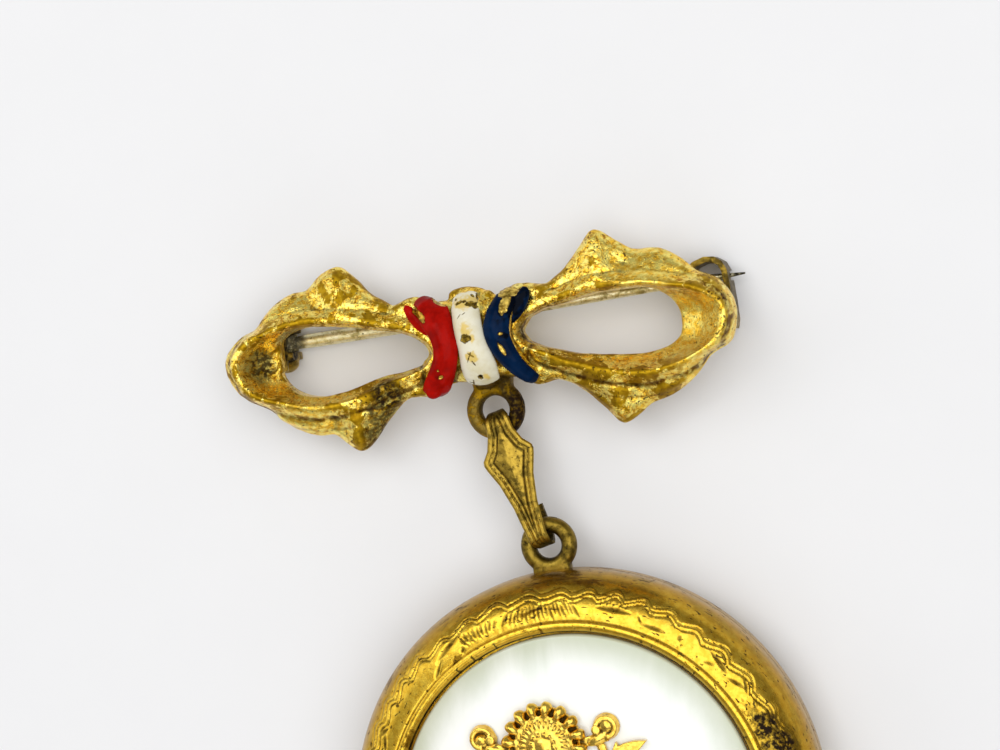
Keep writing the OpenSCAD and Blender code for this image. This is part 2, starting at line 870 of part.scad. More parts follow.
// One scroll beside the rosette: a bar outwards, which curls up and back to a round end
module scroll() {
    bar_line = [[2.2, -0.25], [3.2, 0.02], [scroll_middle.x + 0.1, scroll_middle.y - scroll_r]];
    curl = 280;
    curl_end = curl - 90;
    translate([0, 0, disc_top_z]) {
        linear_extrude(scroll_bar_h)
            polygon(concat(
                strip_side(bar_line, scroll_half_w),
                reversed(strip_side(bar_line, -scroll_half_w))
            ));
        translate([scroll_middle.x, scroll_middle.y, 0]) {
            rotate([0, 0, -90])
                rotate_extrude(angle = curl, $fn = 48)
                    branch_section(scroll_r, scroll_half_w, scroll_curl_h);
            translate(scroll_r * [cos(curl_end), sin(curl_end)])
                cylinder(r1 = scroll_end_r[0], r2 = scroll_end_r[1], h = scroll_end_h, $fn = 32);
        }
    }
}

module rosette() {
    floor_z = 0.5;
    wall_z = 0.72;
    wall = 0.35;
    petal_at = 0.66;
    petal_z = floor_z + 0.04;
    button_r = 0.34;
    button_z = floor_z + 0.1;
    bead_z = bead_r + 0.03;
    cylinder(r = rosette_r + 0.5, h = base_t, $fn = 48);
    difference() {
        cylinder(r1 = rosette_r, r2 = rosette_r - 0.1, h = wall_z, $fn = 48);
        translate([0, 0, floor_z])
            cylinder(r = rosette_r - wall, h = wall_z, $fn = 48);
    }
    for (i = [0:petal_count - 1])
        rotate([0, 0, 360 * i / petal_count])
            translate([petal_at, 0, petal_z])
                sphere(petal_r, $fn = 24);
    translate([0, 0, button_z])
        sphere(button_r, $fn = 24);
    for (i = [0:bead_count - 1])
        rotate([0, 0, 360 * (i + 0.5) / bead_count])
            translate([rosette_r + bead_r, 0, bead_z])
                sphere(bead_r, $fn = 24);
}

// Leaves of a pair on the wreath: reach out from the branch, turn past it, half width and height
leaf_pair = [
    [1.3, 15, 0.42, 0.5],
    [-1.25, 18, 0.38, 0.45],
];
// Leaves at the end of a branch: where the tip is, half width and height
end_leaves = [
    [[6.95, 4.95], 0.5, 0.55],
    [[3.6, rosette_up + 0.3], 0.3, 0.4],
];

// The leaves of the right half of the wreath, with its tip and the stalk up to the scroll
module wreath_leaves() {
    first = -84;
    step = (wreath_end - first) / leaf_count;
    for (i = [0:leaf_count - 1], row = leaf_pair) {
        a = first + step * (i + 0.3);
        tip_a = a + row[1];
        tip = (wreath_r + row[0]) * [cos(tip_a), sin(tip_a)];
        leaf(wreath_r * [cos(a), sin(a)], tip, row[2], row[3]);
    }
    for (row = end_leaves)
        leaf(branch_end, row[0], row[1], row[2]);
}

module ornament() {
    branch_half_w = 0.22;
    branch_h = 0.36;
    knot_r = [0.9, 0.55];
    knot_h = 0.6;
    color("gold")
        translate(shift)
            translate([ornament_middle.x, ornament_middle.y, 0])
                rotate([0, 0, ornament_turn])
                    union() {
                        translate([0, rosette_up, disc_top_z])
                            rosette();
                        translate([0, 0, disc_top_z])
                            rotate([0, 0, wreath_end - wreath_sweep])
                                rotate_extrude(angle = wreath_sweep, $fn = 60)
                                    branch_section(wreath_r, branch_half_w, branch_h);
                        for (side = [0, 1])
                            mirror([side, 0, 0]) {
                                translate([0, rosette_up, 0])
                                    scroll();
                                wreath_leaves();
                            }
                        translate([0, -wreath_r, disc_top_z])
                            cylinder(r1 = knot_r[0], r2 = knot_r[1], h = knot_h, $fn = 32);
                    }
}

// The part's origin is under the middle of its whole box
function loop_reach(table, middle, dir) =
    max([for (r = rows(table, loop_steps, 360)) (middle + r[3] * [cos(r[0]), sin(r[0])]) * dir]);
x_low = -loop_reach(left_loop, left_middle, [-1, 0]);
y_high = max(
    loop_reach(left_loop, left_middle, [0, 1]),
    loop_reach(right_loop, right_middle, [0, 1])
);
shift = [
    -(x_low + locket_middle.x + locket_r) / 2,
    -(y_high + locket_middle.y - locket_r) / 2,
    0
];

bow();
red_enamel();
white_enamel();
blue_enamel();
pin_hinge();
pin_rivet();
pin_stem();
catch();
link();
locket_case();
locket_cover();
locket_hinge_pin();
pearl_disc();
ornament();
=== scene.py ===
import functools
import json
import math

import bpy
import numpy as np
from mathutils import Matrix, Vector, noise as grain


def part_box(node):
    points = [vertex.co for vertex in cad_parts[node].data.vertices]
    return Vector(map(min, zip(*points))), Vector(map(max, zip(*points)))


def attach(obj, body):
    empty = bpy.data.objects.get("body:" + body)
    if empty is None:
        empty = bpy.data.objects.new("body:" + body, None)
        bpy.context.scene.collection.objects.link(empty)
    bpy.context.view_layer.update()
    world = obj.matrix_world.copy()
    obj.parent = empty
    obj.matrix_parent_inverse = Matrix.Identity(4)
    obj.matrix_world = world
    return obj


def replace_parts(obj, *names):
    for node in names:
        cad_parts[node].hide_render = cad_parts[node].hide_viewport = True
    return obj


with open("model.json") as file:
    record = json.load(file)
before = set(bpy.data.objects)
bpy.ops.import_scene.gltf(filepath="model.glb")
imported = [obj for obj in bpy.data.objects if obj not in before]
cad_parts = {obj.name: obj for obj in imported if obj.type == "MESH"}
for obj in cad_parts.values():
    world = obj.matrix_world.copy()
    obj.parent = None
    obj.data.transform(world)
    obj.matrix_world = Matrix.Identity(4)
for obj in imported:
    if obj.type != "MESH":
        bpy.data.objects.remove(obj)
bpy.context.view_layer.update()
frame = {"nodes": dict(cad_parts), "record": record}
mm = 0.001
print("frame loaded")


# Working with objects

def only(piece):
    # one object selected and active, in object mode
    if bpy.context.object and bpy.context.object.mode != "OBJECT":
        bpy.ops.object.mode_set(mode="OBJECT")
    bpy.ops.object.select_all(action="DESELECT")
    if piece:
        piece.select_set(True)
        bpy.context.view_layer.objects.active = piece


def newObject(name, data):
    piece = bpy.data.objects.new(name, data)
    bpy.context.scene.collection.objects.link(piece)
    return piece


def applyPlace(piece):
    only(piece)
    bpy.ops.object.transform_apply(location=True, rotation=True, scale=True)


def dress(piece, material):
    piece.data.materials.clear()
    piece.data.materials.append(material)


def editAll(piece):
    only(piece)
    bpy.ops.object.mode_set(mode="EDIT")
    bpy.ops.mesh.select_all(action="SELECT")


def objectMode():
    bpy.ops.object.mode_set(mode="OBJECT")


def modify(piece, kind, **settings):
    only(piece)
    modifier = piece.modifiers.new(kind.lower(), kind)
    for key, value in settings.items():
        setattr(modifier, key, value)
    bpy.ops.object.modifier_apply(modifier=modifier.name)


def copyOfNode(node, name):
    # a CAD node's mesh is loose triangles, so its copy is merged first
    piece = newObject(name, frame["nodes"][node].data.copy())
    piece.data.materials.clear()
    editAll(piece)
    bpy.ops.mesh.remove_doubles(threshold=0.0005 * mm)
    bpy.ops.mesh.customdata_custom_splitnormals_clear()
    objectMode()
    return piece


def joined(pieces, name):
    only(pieces[0])
    for piece in pieces:
        piece.select_set(True)
    if len(pieces) > 1:
        bpy.ops.object.join()
    pieces[0].name = name
    return pieces[0]


def places(piece, what="co"):
    values = np.empty(len(piece.data.vertices) * 3)
    piece.data.vertices.foreach_get(what, values)
    return values.reshape(-1, 3)


def setPlaces(piece, values):
    piece.data.vertices.foreach_set("co", values.ravel())
    piece.data.update()


def store(piece, name, values):
    # one number for each point, for the material to read
    layer = piece.data.attributes.new(name, "FLOAT", "POINT")
    layer.data.foreach_set("value", values.astype(np.float32))


def remeshed(piece, voxel, smoothing):
    modify(piece, "REMESH", mode="VOXEL", voxel_size=voxel * mm, adaptivity=0)
    modify(piece, "SMOOTH", factor=0.5, iterations=smoothing)


def findRidges(piece, steps, reach, name="ridge"):
    # how far each point stands over the same surface smoothed: 1 on a sharp ridge, -1 in a fold
    soft = newObject("soft", piece.data.copy())
    modify(soft, "SMOOTH", factor=0.5, iterations=steps)
    above = ((places(piece) - places(soft)) * places(piece, "normal")).sum(axis=1)
    bpy.data.objects.remove(soft)
    store(piece, name, np.clip(above / (reach * mm), -1, 1))


def addLump(place, radii, turn):
    # a flattened ball that is melted into a piece by its remesh
    only(None)
    bpy.ops.mesh.primitive_uv_sphere_add(segments=32, ring_count=16, radius=mm, scale=radii,
                                         location=[p * mm for p in place],
                                         rotation=(0, 0, math.radians(turn)))
    lump = bpy.context.object
    applyPlace(lump)
    return lump


def addBlock(middle, sizes):
    only(None)
    bpy.ops.mesh.primitive_cube_add(size=1, location=[m * mm for m in middle])
    block = bpy.context.object
    block.scale = [size * mm for size in sizes]
    applyPlace(block)
    return block


def finished(piece, body, material, angle=None):
    applyPlace(piece)
    if angle:
        bpy.ops.object.shade_smooth_by_angle(angle=math.radians(angle))
    else:
        bpy.ops.object.shade_smooth()
    dress(piece, material)
    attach(piece, body)
    print(piece.name, "made")
    return piece


# Working with materials

def linear(hexColour):
    # sRGB hex to the linear values that Blender takes
    values = [int(hexColour[i:i + 2], 16) / 255 for i in (1, 3, 5)]
    return tuple(v / 12.92 if v <= 0.04045 else ((v + 0.055) / 1.055) ** 2.4 for v in values) + (1,)


def perMm(size):
    # texture scale of a pattern whose grains are about this many millimetres
    return 1 / (size * mm)


# settings that each node of a kind has here
usual = {"MapRange": {"interpolation_type": "SMOOTHSTEP"}, "Mix": {"data_type": "RGBA"}}
# radius in mm at which a turned pattern keeps its scale
patternRadius = 15


def fill(node, inputs):
    # an output is linked, a hex colour turned linear, and any other value written on the socket
    for key, value in inputs.items() if isinstance(inputs, dict) else enumerate(inputs):
        if isinstance(value, bpy.types.NodeSocket):
            node.id_data.links.new(value, node.inputs[key])
        else:
            node.inputs[key].default_value = linear(value) if isinstance(value, str) else value


def addNode(tree, kind, inputs=(), output=0, **settings):
    # a node with its settings and its inputs filled, of which one output goes on
    new = tree.nodes.new("ShaderNode" + kind)
    for key, value in {**usual.get(kind, {}), **settings}.items():
        setattr(new, key, value)
    fill(new, inputs)
    return new.outputs[output]


def turned(add, vector, middle, stretch):
    # a place for patterns that run along circles round a middle: direction, distance and depth
    flat = add("VectorMath", [vector, (1, 1, 0)], operation="MULTIPLY")
    away = add("VectorMath", [flat, [m * mm for m in middle]], operation="SUBTRACT")
    way = add("VectorMath", [away], operation="NORMALIZE")
    ring = add("VectorMath", {0: way, "Scale": patternRadius * mm * stretch}, operation="SCALE")
    down = add("VectorMath", [vector, (0, 0, -1), ring], operation="MULTIPLY_ADD")
    far = add("VectorMath", [away], "Value", operation="LENGTH")
    far = add("CombineXYZ", {"Z": far})
    return add("VectorMath", [down, far], operation="ADD")


def newMaterial(name):
    material = bpy.data.materials.new(name)
    material.use_nodes = True
    add = functools.partial(addNode, material.node_tree)
    shader = material.node_tree.nodes["Principled BSDF"]
    return material, add, shader, add("TexCoord", output="Object")


# Gilt brass: a thin bright plating over brass. It has rubbed through to matt olive brass on the raised
# edges and in ragged patches, has crazed like leaf, and keeps fine dark pits and near-black oxide where
# nobody rubbed. Its dark colour also paints shade in folds, in grooves and at some named places.
def gilding(name, look):
    material, add, shader, coords = newMaterial(name)
    ridge = add("Attribute", output="Fac", attribute_name="ridge")
    place = turned(add, coords, look["turned"], look["stretch"]) if "turned" in look else coords
    # noises with grains of a size in mm
    tint, thick, crust, leaf, spread, broad = [
        add("TexNoise", {"Vector": where, "Scale": perMm(size), "Detail": detail, "Roughness": 0.6})
        for where, size, detail in (
            (coords, 0.4, 4), (coords, 0.8, 4), (coords, 0.3, 4), (coords, look["leaf"], 5),
            (coords, look["pit"] * 8, 2), (place, look["patch"] * 4, 2))]
    # the plating has worn off where this is high: in patches, on edges and on raised faces
    clouds = add("TexNoise", {"Vector": place, "Scale": perMm(look["patch"]), "Detail": 9, "Roughness": 0.7,
                              "Distortion": 0.3})
    broad = add("Math", [broad, 0.5], operation="SUBTRACT")
    wear = add("Math", [broad, look["broad"], clouds], operation="MULTIPLY_ADD")
    edges = add("MapRange", [ridge, 0.1, 0.7, 0, look["edgeWear"]])
    wear = add("Math", [wear, edges], operation="ADD")
    if "faceWear" in look:
        face = add("Attribute", output="Fac", attribute_name="face")
        wear = add("Math", [face, look["faceWear"], wear], operation="MULTIPLY_ADD")
    worn = add("MapRange", [wear, look["wornFrom"], look["wornFrom"] + look["wornSoft"]])
    # the crazing is the edges of small uneven cells
    swirl = add("TexNoise", {"Vector": coords, "Scale": perMm(0.5), "Detail": 4}, "Color")
    uneven = add("VectorMath", [swirl, [0.35 * mm] * 3, coords], operation="MULTIPLY_ADD")
    cells = add("TexVoronoi", {"Vector": uneven, "Scale": perMm(look["cell"])}, "Distance",
                feature="DISTANCE_TO_EDGE")
    cells = add("MapRange", [cells, 0.1, 0.03])
    much = add("MapRange", [tint, 0.42, 0.62, 0.1, look["crazed"]])
    crazed = add("Math", [cells, much], operation="MULTIPLY")
    # it has kept better near some places
    for middle, reach, share in look.get("calm", []):
        away = add("VectorMath", [coords, [m * mm for m in middle]], "Value", operation="DISTANCE")
        calm = add("MapRange", [away, 0.6 * reach * mm, reach * mm, 1, 0])
        less = add("MapRange", [calm, 0, 1, 1, share])
        crazed = add("Math", [crazed, less], operation="MULTIPLY")
        less = add("MapRange", [calm, 0, 1, 1, 0.3])
        worn = add("Math", [worn, less], operation="MULTIPLY")
    mask = add("MapRange", [tint, 0.35, 0.65])
    bright = add("Mix", {0: mask, 6: look["bright"], 7: look["brightLow"]}, 2)
    bright = add("Mix", {0: crazed, 6: bright, 7: look["craze"]}, 2)
    mask = add("MapRange", [tint, 0.35, 0.62])
    dull = add("Mix", {0: mask, 6: look["worn"], 7: look["wornLow"]}, 2)
    colour = add("Mix", {0: worn, 6: bright, 7: dull}, 2)
    rough = add("MapRange", [worn, 0, 1, look["roughBright"], look["roughWorn"]])
    # what lies over the gilding: mask, colour and how matt
    layers = []
    if "zone" in look:
        # a part that has darkened evenly, between two distances from a middle
        middle, start, end, share = look["zone"]
        flat = add("VectorMath", [coords, (1, 1, 0)], operation="MULTIPLY")
        away = add("VectorMath", [flat, [m * mm for m in middle]], "Value", operation="DISTANCE")
        away = add("Math", [broad, 3 * mm, away], operation="MULTIPLY_ADD")
        zone = add("MapRange", [away, start * mm, end * mm, 0, share])
        mask = add("MapRange", [clouds, 0.46, 0.56])
        dull = add("Mix", {0: mask, 6: look["zoneColour"], 7: look["wornLow"]}, 2)
        layers.append((zone, dull, look["roughWorn"]))
    if "groove" in look:
        # brown in the cut lines, thick in some places and nearly gone in others: dirt, and painted shadow
        # under the bow's crests and in the gap round the pearl
        thick = add("MapRange", [thick, 0.38, 0.58, look["grooveLow"], look["cut"]])
        cut = add("Attribute", output="Fac", attribute_name="cut")
        cut = add("MapRange", [cut, 0.1, 0.9])
        filled = add("Math", [cut, thick], operation="MULTIPLY")
        layers.append((filled, look["groove"], 0.45))
    # pits are the peaks of a fine noise, thick in some places and scarce in others
    peaks = add("TexNoise", {"Vector": place, "Scale": perMm(look["pit"]), "Detail": 2})
    peaks = add("Math", [spread, 0.35, peaks], operation="MULTIPLY_ADD")
    dark = add("MapRange", [peaks, look["pitFrom"], look["pitFrom"] + 0.03, 0, 0.85])
    # dirt and painted shade in the folds, with an uneven edge
    folds = add("Math", [tint, 0.5, -0.25], operation="MULTIPLY_ADD")
    folds = add("Math", [ridge, folds], operation="ADD")
    low = -look["foldFrom"]
    folds = add("MapRange", [folds, low, low - 0.45, 0, look["foldShare"]])
    dark = add("Math", [dark, folds], operation="MAXIMUM")
    if look["spots"]:
        # dark patches at named places, crusty and with a ragged edge: tarnish at some places, painted shade
        # at others
        rag = look["rag"]
        swirl = add("TexNoise", {"Vector": coords, "Scale": perMm(1.1), "Detail": 6, "Roughness": 0.65},
                    "Color")
        ragged = add("VectorMath", [swirl, [rag * mm] * 3, coords], operation="MULTIPLY_ADD")
        crust = add("MapRange", [crust, 0.38, 0.55, 0.6, 1])
        for middle, radius, share in look["spots"]:
            centre = [(m + 0.5 * rag) * mm for m in middle]
            away = add("VectorMath", [ragged, centre], "Value", operation="DISTANCE")
            spot = add("MapRange", [away, 1.05 * radius * mm, 0.5 * radius * mm, 0, share])
            spot = add("Math", [spot, crust], operation="MULTIPLY")
            dark = add("Math", [dark, spot], operation="MAXIMUM")
    layers.append((dark, look["dark"], 0.5))
    for mask, tone, matt in layers:
        colour = add("Mix", {0: mask, 6: colour, 7: tone}, 2)
        matt = add("Math", [mask, matt], operation="MULTIPLY")
        rough = add("Math", [rough, matt], operation="MAXIMUM")
    # the leaf is crumpled where it is left, and lies lower in cracks, bare patches, dirt and painted shade
    leaf = add("Math", [leaf, look["leafHeight"]], operation="MULTIPLY")
    leaf = add("Math", [crazed, -0.5, leaf], operation="MULTIPLY_ADD")
    left = add("MapRange", [worn, 0, 1, 1, 0.35])
    leaf = add("Math", [leaf, left], operation="MULTIPLY")
    height = add("Math", [worn, -0.3, leaf], operation="MULTIPLY_ADD")
    height = add("Math", [dark, -0.7, height], operation="MULTIPLY_ADD")
    # oxide and dirt are no metal and don't shine, and the painted shade is made no metal as well
    metal = add("MapRange", [dark, 0.5, 0.95, 1, 0])
    normal = add("Bump", {"Strength": look["bump"], "Distance": 0.05 * mm, "Height": height})
    fill(shader, {"Base Color": colour, "Roughness": rough, "Metallic": metal, "Specular IOR Level": 0.06,
                  "Normal": normal})
    return material


# middle of the locket in mm, round which its patterns turn
patternMiddle = (3.1988, -11.489, 0)
# the cast bow: bright as leaf, olive brown where the plating has gone
bowGilding = {
    "bright": "#FFEC7E", "brightLow": "#F9C638", "craze": "#A8700C", "worn": "#BE981C", "wornLow": "#987410",
    "dark": "#1C0E03", "patch": 1.2, "broad": 0.5, "edgeWear": 0.05, "faceWear": 0.05, "wornFrom": 0.555,
    "wornSoft": 0.03, "cell": 0.4, "crazed": 0.9, "zone": ((-0.62, 16.26, 0), 3.1, 2.4, 0.95),
    "zoneColour": "#705A24", "cut": 0.9, "groove": "#553208", "grooveLow": 0.3,
    "calm": [((15.0, 19.8, 3.4), 4.6, 0.15), ((-13.7, 16.6, 4.0), 3.0, 0.4), ((11.1, 24.8, 4.0), 3.4, 0.4)],
    "pit": 0.21, "pitFrom": 0.835, "foldFrom": 0.45, "foldShare": 0.6, "roughBright": 0.25, "roughWorn": 0.52,
    "leaf": 0.24, "leafHeight": 1.6, "bump": 0.6, "rag": 1.5,
    "spots": [((-17.0, 21.0, 4.6), 1.6, 0.95), ((-7.75, 18.1, 5.0), 1.6, 0.98), ((-8.3, 17.0, 4.7), 1.5, 0.9),
              ((-8.8, 15.5, 4.4), 1.5, 0.9), ((-9.4, 14.2, 4.2), 1.0, 0.8), ((-10.0, 24.2, 4.6), 0.6, 0.65),
              ((0.9, 15.3, 3.4), 1.4, 1.0), ((1.1, 16.4, 3.4), 1.3, 1.0), ((0.8, 17.3, 3.6), 1.1, 0.9),
              # from (1.75, 22.2) to (2.5, 19.5): painted shadow in the gap between the blue band and the
              # right loop
              ((0.2, 18.0, 4.0), 0.9, 0.85), ((1.75, 22.2, 4.4), 0.8, 0.9), ((2.0, 21.2, 4.2), 0.8, 0.9),
              ((2.1, 20.3, 4.1), 0.8, 0.9), ((2.5, 19.5, 4.0), 0.7, 0.8), ((-0.62, 16.26, 3), 1.45, 0.8)],
}
# the stamped locket: smooth and even, with dirt in its lines and painted shade in the gap round the pearl
locketGilding = {
    "bright": "#E4BE42", "brightLow": "#CFA42E", "craze": "#A87C1C", "worn": "#A8801F", "wornLow": "#6E4E12",
    "dark": "#1E1104", "patch": 0.9, "broad": 0.5, "edgeWear": 0.0, "wornFrom": 0.6, "wornSoft": 0.05,
    "cell": 0.6, "crazed": 0.1, "turned": patternMiddle, "stretch": 0.45,
    "zone": (patternMiddle, 14.4, 15.9, 0.62), "zoneColour": "#976A18", "pit": 0.2, "pitFrom": 0.825,
    "foldFrom": 2, "foldShare": 0, "cut": 1.0, "groove": "#2C1804", "grooveLow": 0.8, "roughBright": 0.27,
    "roughWorn": 0.38, "leaf": 0.3, "leafHeight": 0.4, "bump": 0.25, "rag": 1.8,
    "spots": [((16.4, -6.0, 7.3), 1.2, 1.0), ((17.3, -7.6, 7.1), 1.6, 1.0), ((15.6, -4.9, 7.2), 0.7, 0.7),
              ((13.95, -2.3, 7.2), 0.45, 0.5), ((1.2, 3.0, 7.3), 1.0, 0.35)],
}
# formed strip: dull olive gold, with dirt and painted shade in its corners
dullGilding = {
    "bright": "#B2943A", "brightLow": "#957A2E", "craze": "#7C6524", "worn": "#806A28", "wornLow": "#60501E",
    "dark": "#181105", "patch": 0.5, "broad": 0.5, "edgeWear": -0.12, "wornFrom": 0.49, "wornSoft": 0.14,
    "cell": 0.4, "crazed": 0.3, "pit": 0.2, "pitFrom": 0.86, "foldFrom": 0.25, "foldShare": 0.75,
    "roughBright": 0.38, "roughWorn": 0.48, "leaf": 0.3, "leafHeight": 0.8, "bump": 0.35, "rag": 0.8,
    # the first spot is painted shade in the catch's hollow
    "spots": [((16.2, 23.5, 1.6), 3.6, 0.75), ((-15.9, 23.3, 1.6), 1.6, 0.9), ((-15.5, 21.9, 2.4), 1.4, 1.0),
              ((2.13, 6.58, 2.8), 1.35, 0.9), ((2.0, 9.2, 1.6), 1.7, 0.9), ((-0.62, 16.26, 2.8), 1.5, 0.8)],
}
# the ring is soldered on and has darkened more than the rest
ringGilding = dict(dullGilding, bright="#8E7630", brightLow="#74601F", worn="#66541E", wornLow="#4C3E16")
# the stamped ornament: clean, with dirt and painted shade only in its folds
ornamentGilding = {
    "bright": "#F2CE5C", "brightLow": "#D6AA40", "craze": "#A87E28", "worn": "#A8842E", "wornLow": "#8C6A20",
    "dark": "#2E1D09", "patch": 0.8, "broad": 0.4, "edgeWear": -0.1, "wornFrom": 0.62, "wornSoft": 0.08,
    "cell": 0.5, "crazed": 0.2, "pit": 0.2, "pitFrom": 0.9, "foldFrom": 0.1, "foldShare": 0.95,
    "roughBright": 0.2, "roughWorn": 0.36, "leaf": 0.3, "leafHeight": 0.6, "bump": 0.2, "spots": [],
}
# drawn wire: pale plating that has gone grey with wear
stemPlating = {
    "bright": "#F8EFC8", "brightLow": "#E4D8A0", "craze": "#B0A26C", "worn": "#CCBC7E", "wornLow": "#A09058",
    "dark": "#241F12", "patch": 1.0, "broad": 0.4, "edgeWear": 0.0, "wornFrom": 0.53, "wornSoft": 0.1,
    "cell": 0.3, "crazed": 0.4, "pit": 0.2, "pitFrom": 0.88, "foldFrom": 2, "foldShare": 0,
    "roughBright": 0.42, "roughWorn": 0.5, "leaf": 0.25, "leafHeight": 0.8, "bump": 0.35, "rag": 0.5,
    # the second spot is painted shade on the stem's tip inside and beyond the catch
    "spots": [((-15.9, 22.4, 1.4), 1.5, 0.9), ((17.7, 23.9, 1), 2.6, 1.0)],
}


# Cold enamel: a thick glossy skin of paint with a faint orange peel. Where it has chipped, the gilt
# brass under it shows.
def enamelMaterial(name, look):
    material, add, shader, coords = newMaterial(name)
    clouds, specks, mask, peel, fine = [
        add("TexNoise", {"Vector": coords, "Scale": perMm(size), "Detail": detail, "Roughness": rough})
        for size, detail, rough in (
            (1.2, 5, 0.6), (0.14, 3, 0.55), (0.35, 4, 0.6), (0.9, 3, 0.6), (0.2, 3, 0.6))]
    clouds = add("MapRange", [clouds, 0.35, 0.68])
    colour = add("Mix", {0: clouds, 6: look["colour"], 7: look["low"]}, 2)
    specks = add("MapRange", [specks, look["speckFrom"], look["speckFrom"] + 0.03, 0, 0.7])
    colour = add("Mix", {0: specks, 6: colour, 7: look["speck"]}, 2)
    # stains, and in the blue band also painted shade
    stainAndShade = add("Attribute", output="Fac", attribute_name="stainAndShade")
    stainAndShade = add("Math", [stainAndShade, look["stainAndShadeShare"]], operation="MULTIPLY")
    colour = add("Mix", {0: stainAndShade, 6: colour, 7: look["stainAndShade"]}, 2)
    # a chip has a dark edge and bare metal inside
    chip = add("Attribute", output="Fac", attribute_name="chip")
    edge = add("MapRange", [chip, 0.05, 0.4, 0, 0.75])
    colour = add("Mix", {0: edge, 6: colour, 7: look["chipEdge"]}, 2)
    mask = add("MapRange", [mask, 0.4, 0.6])
    metal = add("Mix", {0: mask, 6: look["bareBright"], 7: look["bareDark"]}, 2)
    bare = add("MapRange", [chip, 0.35, 0.65])
    colour = add("Mix", {0: bare, 6: colour, 7: metal}, 2)
    rough = add("MapRange", [bare, 0, 1, look["gloss"], 0.35])
    peel = add("Math", [fine, 0.12, peel], operation="MULTIPLY_ADD")
    normal = add("Bump", {"Strength": 0.3, "Distance": 0.05 * mm, "Height": peel})
    fill(shader, {"Base Color": colour, "Metallic": bare, "Roughness": rough, "Normal": normal, "IOR": 1.5,
                  "Specular IOR Level": look["shine"], "Coat Weight": 0.02, "Coat Roughness": 0.03})
    return material


redEnamel = {
    "colour": "#A51008", "low": "#820904", "speck": "#3A0606", "speckFrom": 0.75, "gloss": 0.2, "shine": 0.02,
    "stainAndShade": "#4A0A06", "stainAndShadeShare": 0.6, "bareBright": "#E0B548", "bareDark": "#94752C",
    "chipEdge": "#3E0B06",
}
whiteEnamel = {
    "colour": "#DDD8C2", "low": "#D2C9A6", "speck": "#8A7A4A", "speckFrom": 0.73, "gloss": 0.24,
    "shine": 0.25, "stainAndShade": "#D2B24A", "stainAndShadeShare": 0.85, "bareBright": "#8E7428", "bareDark": "#3E2E10",
    "chipEdge": "#261B0A",
}
blueEnamel = {
    "colour": "#061F3E", "low": "#03122A", "speck": "#02050C", "speckFrom": 0.75, "gloss": 0.18,
    # the near-black stain colour paints shade in the hollow at the loop's inner end
    "shine": 0.02, "stainAndShade": "#03050B", "stainAndShadeShare": 0.9, "bareBright": "#E8C860", "bareDark": "#8E7029",
    "chipEdge": "#040B16",
}


# Mother of pearl: cut from shell and polished, white with faint green and pink clouds along its layers.
def pearlMaterial(name, look):
    material, add, shader, coords = newMaterial(name)
    turn = (0, 0, math.radians(look["layerTurn"]))
    layers = add("Mapping", {"Vector": coords, "Rotation": turn, "Scale": (1, 0.3, 1)})
    swirl = add("TexNoise", {"Vector": layers, "Scale": perMm(5.5), "Detail": 5, "Roughness": 0.55,
                             "Distortion": 1.0})
    fine = add("TexNoise", {"Vector": layers, "Scale": perMm(0.8), "Detail": 6, "Roughness": 0.6,
                            "Distortion": 1.5})
    # the edge is darker: partly the shell's own grey-green, partly painted shade from the rim round it
    flat = add("VectorMath", [coords, (1, 1, 0)], operation="MULTIPLY")
    away = add("VectorMath", [flat, [m * mm for m in look["middle"]]], "Value", operation="DISTANCE")
    soft = add("Math", [swirl, 0.5], operation="SUBTRACT")
    soft = add("Math", [soft, 2.5 * mm, away], operation="MULTIPLY_ADD")
    colour = look["white"]
    for value, low, high, most, tone in ((swirl, 0.36, 0.6, 1, "green"), (swirl, 0.56, 0.7, 0.6, "pink"),
                                         (fine, 0.4, 0.75, 0.12, "layer"),
                                         (soft, look["edgeTintAndShadeFrom"] * mm, 12.6 * mm, 0.85, "edge")):
        mask = add("MapRange", [value, low, high, 0, most])
        colour = add("Mix", {0: mask, 6: colour, 7: look[tone]}, 2)
    normal = add("Bump", {"Strength": 0.1, "Distance": 0.05 * mm, "Height": fine})
    fill(shader, {"Base Color": colour, "Normal": normal, "Roughness": 0.3, "IOR": 1.53, "Coat Weight": 0.3,
                  "Coat Roughness": 0.08, "Thin Film Thickness": 380.0, "Thin Film IOR": 1.6})
    return material


motherOfPearl = {
    # edge: the shell's grey-green with painted shade from the rim
    "white": "#F8F7F3", "green": "#F0F2EC", "pink": "#F4F0EB", "layer": "#E2E5DD", "edge": "#AEB08C",
    "layerTurn": 35, "middle": patternMiddle, "edgeTintAndShadeFrom": 9.2,
}

bowGilt = gilding("worn_gilding_on_cast_brass", bowGilding)
locketGilt = gilding("polished_gilding_on_stamped_brass", locketGilding)
ornamentGilt = gilding("bright_gilding_on_stamped_brass", ornamentGilding)
dullGilt = gilding("dull_gilding_on_formed_brass", dullGilding)
ringGilt = gilding("heat_darkened_gilding_on_soldered_brass", ringGilding)
stemMetal = gilding("worn_plating_on_drawn_wire", stemPlating)
pearl = pearlMaterial("polished_mother_of_pearl", motherOfPearl)
print("materials made")


# The bow, with a bead and grooves along the crest that goes round each loop

bowSizes = {
    "voxel": 0.115, "smoothing": 11, "turns": 120, "reach": 9.5, "around": 10, "step": 0.12, "crestLow": 3.2,
    "crestHigh": 6.3, "bead": 0.03, "beadWidth": 0.6, "groove": 0.085, "grooveAt": 0.82, "grooveIn": 0.35,
    "grooveWidth": 0.22, "secondBead": 0.04, "secondAt": 1.2, "secondGroove": 1.65, "secondWidth": 0.22,
}
# lumps of the cast knot round the upper ends of the bands: place, radii and turn
bowLumps = [((-1.5, 24.35, 3.9), (1.5, 0.62, 0.6), -4), ((-0.1, 23.85, 4.2), (0.6, 0.75, 0.6), 0)]


